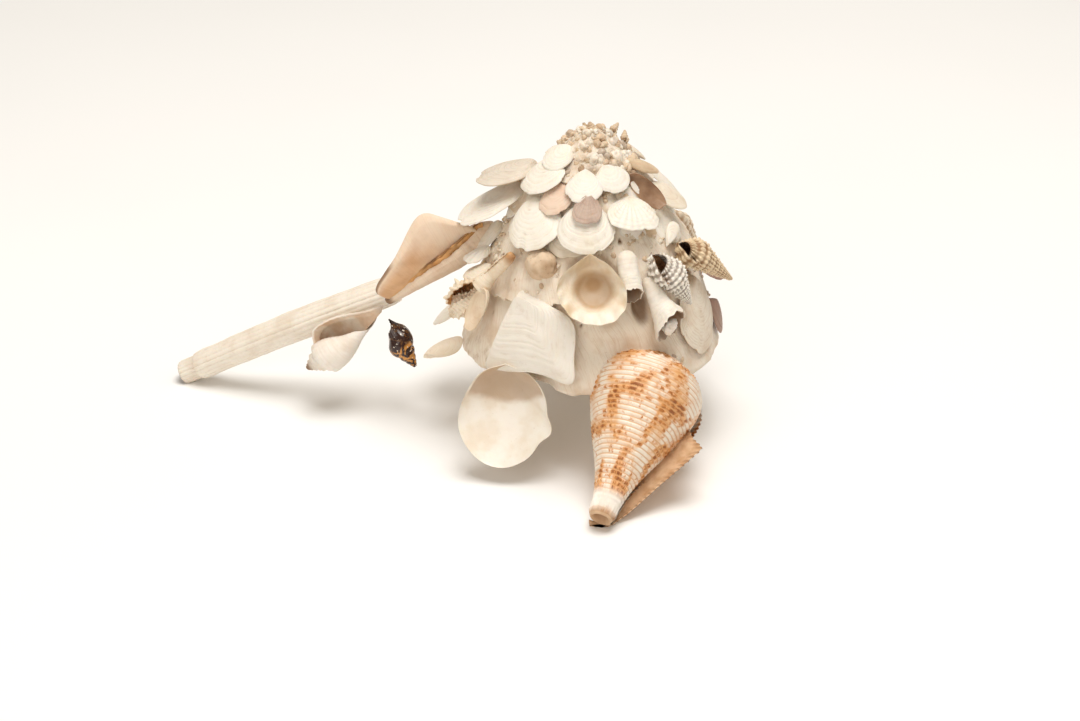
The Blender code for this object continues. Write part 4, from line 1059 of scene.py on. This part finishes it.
for number, (azimuth, look) in enumerate(((45, "cream"), (110, "white")), 1):
    VALVES.append((f"high_tile_{number}", (azimuth, 11.6, 53), (azimuth + 5, 19, 47.6), (azimuth, 50), look, 10, 1.6,
                   dict(length=9.5, fan=0.15, rings=7, wobble=0.05, wave=0.2, seed=50 + number)))
VALVE_ROOTS = [(azimuth, height, CEMENT_SPREAD) for _, (azimuth, distance, height), *_ in VALVES
               if distance < HOST_REACH]

# Small valves that fill the turns of the spire
CHIPS = 46
CHIPS_A_TURN = 15.4
CHIP_LOOKS = ("white", "chalk", "cream", "white", "tan", "chalk", "pink")
# Height of each ring of chips and the share of full size that its chips have
CHIP_RINGS = [(42.0, 1.0), (47.5, 0.92), (53.0, 0.74)]
fill = np.random.default_rng(21)
for number in range(CHIPS):
    column, ring_of = divmod(number, len(CHIP_RINGS))
    height, share = CHIP_RINGS[ring_of]
    height += fill.uniform(-1.6, 1.6)
    azimuth = 360 * (column + 0.33 * ring_of) / CHIPS_A_TURN - 180 + fill.uniform(-5, 5)
    size = fill.uniform(7.5, 11.5) * share
    start = wall_radius(height) - 1.5
    tip = (azimuth + fill.uniform(-9, 9), start + 0.66 * size, height - 0.72 * size)
    width, depth = size * fill.uniform(0.8, 1.15), fill.uniform(1.2, 2.2)
    look = CHIP_LOOKS[number % len(CHIP_LOOKS)]
    VALVES.append((f"chip_{number + 1}", (azimuth, start, height), tip, (azimuth, 44), look, width, depth,
                   dict(fan=fill.uniform(0, 0.35), rings=fill.uniform(5, 10), wobble=0.09, nick=0.10, wave=0.4,
                        seed=300 + number)))


# Where each shell goes, as root, tip and face

SPINY = (-140, 28, 32.8), (-165, 41, 9.2), (-130, 40)
PEBBLE = (-122, 25.4, 31.4), (-122, 28, 26), (-122, 30)
FINGER = (-70, 25.2, 36.6), (-71, 32.6, 25.4), (-70, 40)
HORN = (-60, 28.4, 29.2), (-54, 36.6, 15.8), (-57, 40)
HORN_CHUNK = (-55.5, 36.4, 17.2), (-54, 37.6, 14.8), (-57, 40)
GREY_SNAIL = (-56, 28.2, 37.2), (-39, 35.6, 18.2), (-45, 40)
AUGER = (-33, 27, 35.5), (-12, 40.5, 19.6), (-45, 50)
TIP_SNAIL = (0, 0.8, 57.6), (180, 0.8, 63.8), (-90, 10)
# Azimuth, distance, height and size
TIP_GRAINS = [(-60, 3.6, 59.6, 3.2), (-140, 4.6, 58, 3.0), (-98, 7.6, 55.2, 3.3), (-48, 8.2, 54.6, 3.2),
              (60, 5.6, 57.6, 3.2), (160, 6.2, 56.4, 3.2)]
BACK_SNAIL = (44, 27.8, 30), (38, 40.2, 14.6), (40, 40)
BACK_TURRET = (122, 28.4, 30), (126, 43, 14), (120, 40)
BACK_AUGER = (58, 33, 0.6), (58, 63, -28.4), (58, 60)
BACK_WHELK = (126, 33, -1), (122, 62.5, -26.4), (125, 60)
# Where cement shows on the wall, as azimuth, height and how far it spreads
ROOTS = VALVE_ROOTS + [
    (-51, 5, 4), (-122, 31.4, 3.4), (-70, 36.6, 2.6), (-60, 29.2, 2.6), (-56, 37.2, 3.2), (-33, 35.5, 3.2),
    (-140, 32.8, 3), (44, 30, 3), (122, 30, 3), (58, 2, 3), (126, 2, 3.4), (-169, 30, 4)]

build("host", host_shell(ROOTS), Matrix.Translation(AXIS), "host_wall", "host_shell")
for name, root, tip, face, look, width, depth, rest in VALVES:
    length = rest.pop("length", reach_of(root, tip))
    nodes = () if name.startswith("chip_") else (name,)
    build(name + "_detail", valve(width, length, depth, **rest), at(root, tip, face), look, *nodes)

build("fig", fig_shell(), at(FIG_ROOT, FIG_TIP, (-90, 50)), "fig", "fig_shell")
build("tusk", tusk_shell(), between(spot(*TUSK_ROOT), spot(*TUSK_TIP), Vector((0, -0.5, 1))), "tusk_ribbed",
      "tusk_shell")
build("conch", flared_conch(), between(spot(-26, 5, 31), spot(-56.5, 0.5, 9.5), Vector((-0.57, 0, 0.81))),
      "conch_orange", "flared_conch")
build("white_conch", small_conch(), between(spot(-57, 0.5, 6), spot(-79.5, 2.5, -12.5), Vector((0.1, -0.7, 0.7))),
      "conch_white", "small_conch")
build("spiny", spiny_shell(), at(*SPINY), "spiny_cream", "long_canal_shell")
build("pebble_crust", grain((4.6, 4.2, 3.4), 61, (60, 90), 0.12), at(*PEBBLE), "grit", "pebble")
build("finger", broken_tube(14, 2.7, 3.1, 101), at(*FINGER), "tube_white", "finger_tube")
build("horn", broken_tube(18.2, 1.9, 5, 111, wall=0.6, lean=6), at(*HORN), "tube_white", "horn_tube")
build("horn_chunk", grain((2.3, 1.7, 1.6), 131, (40, 54), 0.28), at(*HORN_CHUNK), "chalk")

build("grey_snail_detail", snail(21.6, 5, 1.42, 6, (5.5, 15, 0.34, 0.14, 0.55, 0.10), per_turn=110, rows=84, wall=0.6,
                                 lip=0.5, shape=dict(bulge=0.16, base=0.25, foot=0.42)),
      at(*GREY_SNAIL), "grey_snail", "grey_snail")
build("auger_detail", snail(24, 4.4, 1.27, 9, (3.5, 17, 0.20, 0.10, 0.60, 0.04), per_turn=110, rows=64, lip=0.2,
                            shape=dict(bulge=0.06, base=0.18, foot=0.3)),
      at(*AUGER), "auger", "beaded_auger")
dark = snail(17, 4.3, 1.5, 5, (2, 9, 0.04, 0.10, 0, 0.05), mouth=115, per_turn=90, rows=60, lip=0.15,
             shape=dict(bulge=0.14, base=0.34, foot=0.34))
build("dark_snail_detail", with_mark(dark, (0, 6.5, 10, 13.5, 16, 17), (0, 0.15, 0.9, 0.8, 0.1, 0.9)),
      between(spot(-57.2, -0.8, 3.4), spot(-48, -1.5, -11.8), Vector((0.2, -0.9, 0.3))), "dark", "dark_snail")
build("tip_snail_detail", snail(6.6, 2.6, 1.6, 4, (4, 9, 0.10, 0.12, 0.2, 0.08), mouth=-80, per_turn=60, rows=40,
                                wall=0.3, shape=dict(foot=0.4)),
      at(*TIP_SNAIL), "grit", "tip_snail")
for number, (*where, size) in enumerate(TIP_GRAINS, 1):
    build(f"tip_grain_{number}_detail", grain((0.55 * size, 0.5 * size, 0.5 * size), 120 + number, (44, 60), 0.30),
          Matrix.Translation(place(*where)), "grit", f"tip_grain_{number}")


# Grit and very small shells

TIP_LUMPS = 170
TINY_SNAILS = 9
GRAINS_A_ROOT = 7
draw = np.random.default_rng(8)


def turned_any(point):
    """A form's own frame at a point, in millimetres from the axis, turned any way."""
    spin = Matrix.Rotation(draw.uniform(0, 6.28), 4, Vector(draw.normal(size=3)))
    return Matrix.Translation(point) @ spin


def from_axis(azimuth, distance, height):
    return (place(azimuth, distance, height) - AXIS) / MM


def lump_of(size, seed, detail):
    """A grain that is tan, pale or dark; the dark ones are painted shade standing for holes among the grit."""
    lump = grain(size * draw.uniform(0.7, 1.1, 3), seed, detail)
    pale, dark = draw.uniform(0, 1), draw.uniform(0, 1)
    lump.facts["inner"] = [np.full(lump.count, 0.9 * ease(0.35, 0.65, pale))]
    lump.facts["mark"] = [np.full(lump.count, 0.55 * ease(0.80, 0.95, dark))]
    return lump


cluster = Form()
for number in range(TIP_LUMPS):
    height = draw.uniform(50.5, 61.6)
    out = wall_radius(height) + draw.uniform(0.1, 1)
    size = draw.uniform(0.7, 2.1) * (0.6 + 0.4 * (HOST_HEIGHT - height) / 11.5)
    lump = lump_of(size, 200 + number, (14, 18))
    cluster.add(lump, turned_any(from_axis(draw.uniform(-180, 180), out, height)))
for number in range(TINY_SNAILS):
    tiny = snail(5, 1.3, 1.4, 4, (3, 9, 0.06, 0.08, 0.12, 0.04), mouth=-80, per_turn=30, rows=22, wall=0.2)
    height = draw.uniform(53, 58.5)
    cluster.add(tiny, turned_any(from_axis(360 / TINY_SNAILS * number + 12, wall_radius(height) + 1.2, height)))
build("tip_grit", cluster, Matrix.Translation(AXIS), "grit")

joints = Form()
for number, (azimuth, middle, _) in enumerate(ROOTS):
    for step in range(GRAINS_A_ROOT):
        height = max(0.6, middle + draw.normal() * 1.9)
        out = wall_radius(height) + draw.uniform(0.2, 0.9)
        around = azimuth + math.degrees(draw.normal() * 2.6 / max(out, 4))
        lump = lump_of(draw.uniform(0.35, 0.95), 400 + GRAINS_A_ROOT * number + step, (9, 12))
        joints.add(lump, turned_any(from_axis(around, out, height)))
build("joint_grit", joints, Matrix.Translation(AXIS), "grit")

build("back_snail_detail", snail(20, 5, 1.5, 5, (5, 11, 0.15, 0.22, 0.2, 0.06), per_turn=90, rows=60,
                                 shape=dict(foot=0.4)),
      at(*BACK_SNAIL), "back_snail", "back_snail")
build("back_turret_detail", snail(21.6, 3.9, 1.3, 7, (3, 14, 0.10, 0.12, 0.25, 0.04), per_turn=90, rows=50),
      at(*BACK_TURRET), "auger", "back_turret")
build("back_auger_detail", snail(reach_of(*BACK_AUGER[:2]), 4.9, 1.22, 12, (2, 16, 0.10, 0.16, 0, 0.04), per_turn=90,
                                 rows=44, shape=dict(bulge=0.05, base=0.14)),
      at(*BACK_AUGER), "back_snail", "back_auger")
WHELK = reach_of(*BACK_WHELK[:2]), 7
build("back_whelk_detail", snail(*WHELK, 1.7, 5, (9, 9, 0.18, 0.35, 0.2, 0.06), whelk_curve(*WHELK), per_turn=110,
                                 rows=80, wall=0.7, lip=0.6),
      at(*BACK_WHELK), "back_snail", "back_whelk")


# Light, floor and camera

FLOOR_HALF = 2.0
VIEW_RISE = math.radians(28)
VIEW_DISTANCE = 0.714
CENTRE = AXIS + Vector((0, 0, 0.02))

floor_mesh = bpy.data.meshes.new("floor")
corners = [(-FLOOR_HALF, -FLOOR_HALF), (FLOOR_HALF, -FLOOR_HALF), (FLOOR_HALF, FLOOR_HALF), (-FLOOR_HALF, FLOOR_HALF)]
floor_mesh.from_pydata([(x, y, 0) for x, y in corners], [], [(0, 1, 2, 3)])
floor = bpy.data.objects.new("floor", floor_mesh)
bpy.context.scene.collection.objects.link(floor)
pale = Look("floor_pale")
tone = pale.mix(pale.noise(3, 2), (0.92, 0.92, 0.915), (0.94, 0.94, 0.935))
floor_mesh.materials.append(pale.finish(tone, pale.plus(pale.noise(9, 2), 0.3),
                                        pale.bump(pale.noise(400, 2), 0.02), 0, 0.1))


def lamp(name, away, size, power, colour):
    """A soft lamp this far from the middle of the object, aimed at it."""
    data = bpy.data.lights.new(name, "AREA")
    data.shape = "RECTANGLE"
    data.size, data.size_y = size
    data.energy = power
    data.color = colour
    thing = bpy.data.objects.new(name, data)
    bpy.context.scene.collection.objects.link(thing)
    thing.location = CENTRE + Vector(away)
    thing.rotation_euler = (-Vector(away)).to_track_quat("-Z", "Y").to_euler()


lamp("key", (0.06, -0.05, 0.9), (0.6, 0.5), 7.4, (1, 0.985, 0.96))
lamp("fill", (-0.5, -1, 0.5), (0.8, 0.6), 3.2, (1, 0.96, 0.90))

world = bpy.data.worlds.new("studio")
bpy.context.scene.world = world
world.use_nodes = True
sky = world.node_tree.nodes["Background"].inputs
sky["Color"].default_value = (1, 0.90, 0.77, 1)
sky["Strength"].default_value = 0.40
bpy.context.scene.view_settings.view_transform = "Standard"

look_along = Vector((0, math.cos(VIEW_RISE), -math.sin(VIEW_RISE)))
look_up = Vector((0, math.sin(VIEW_RISE), math.cos(VIEW_RISE)))
camera_data = bpy.data.cameras.new("camera")
camera_data.lens = 85
camera = bpy.data.objects.new("camera", camera_data)
bpy.context.scene.collection.objects.link(camera)
aim = AXIS + Vector((-0.014, 0, 0)) - 0.00798 * look_up
camera.location = aim - VIEW_DISTANCE * look_along
camera.rotation_euler = look_along.to_track_quat("-Z", "Y").to_euler()
bpy.context.scene.camera = camera
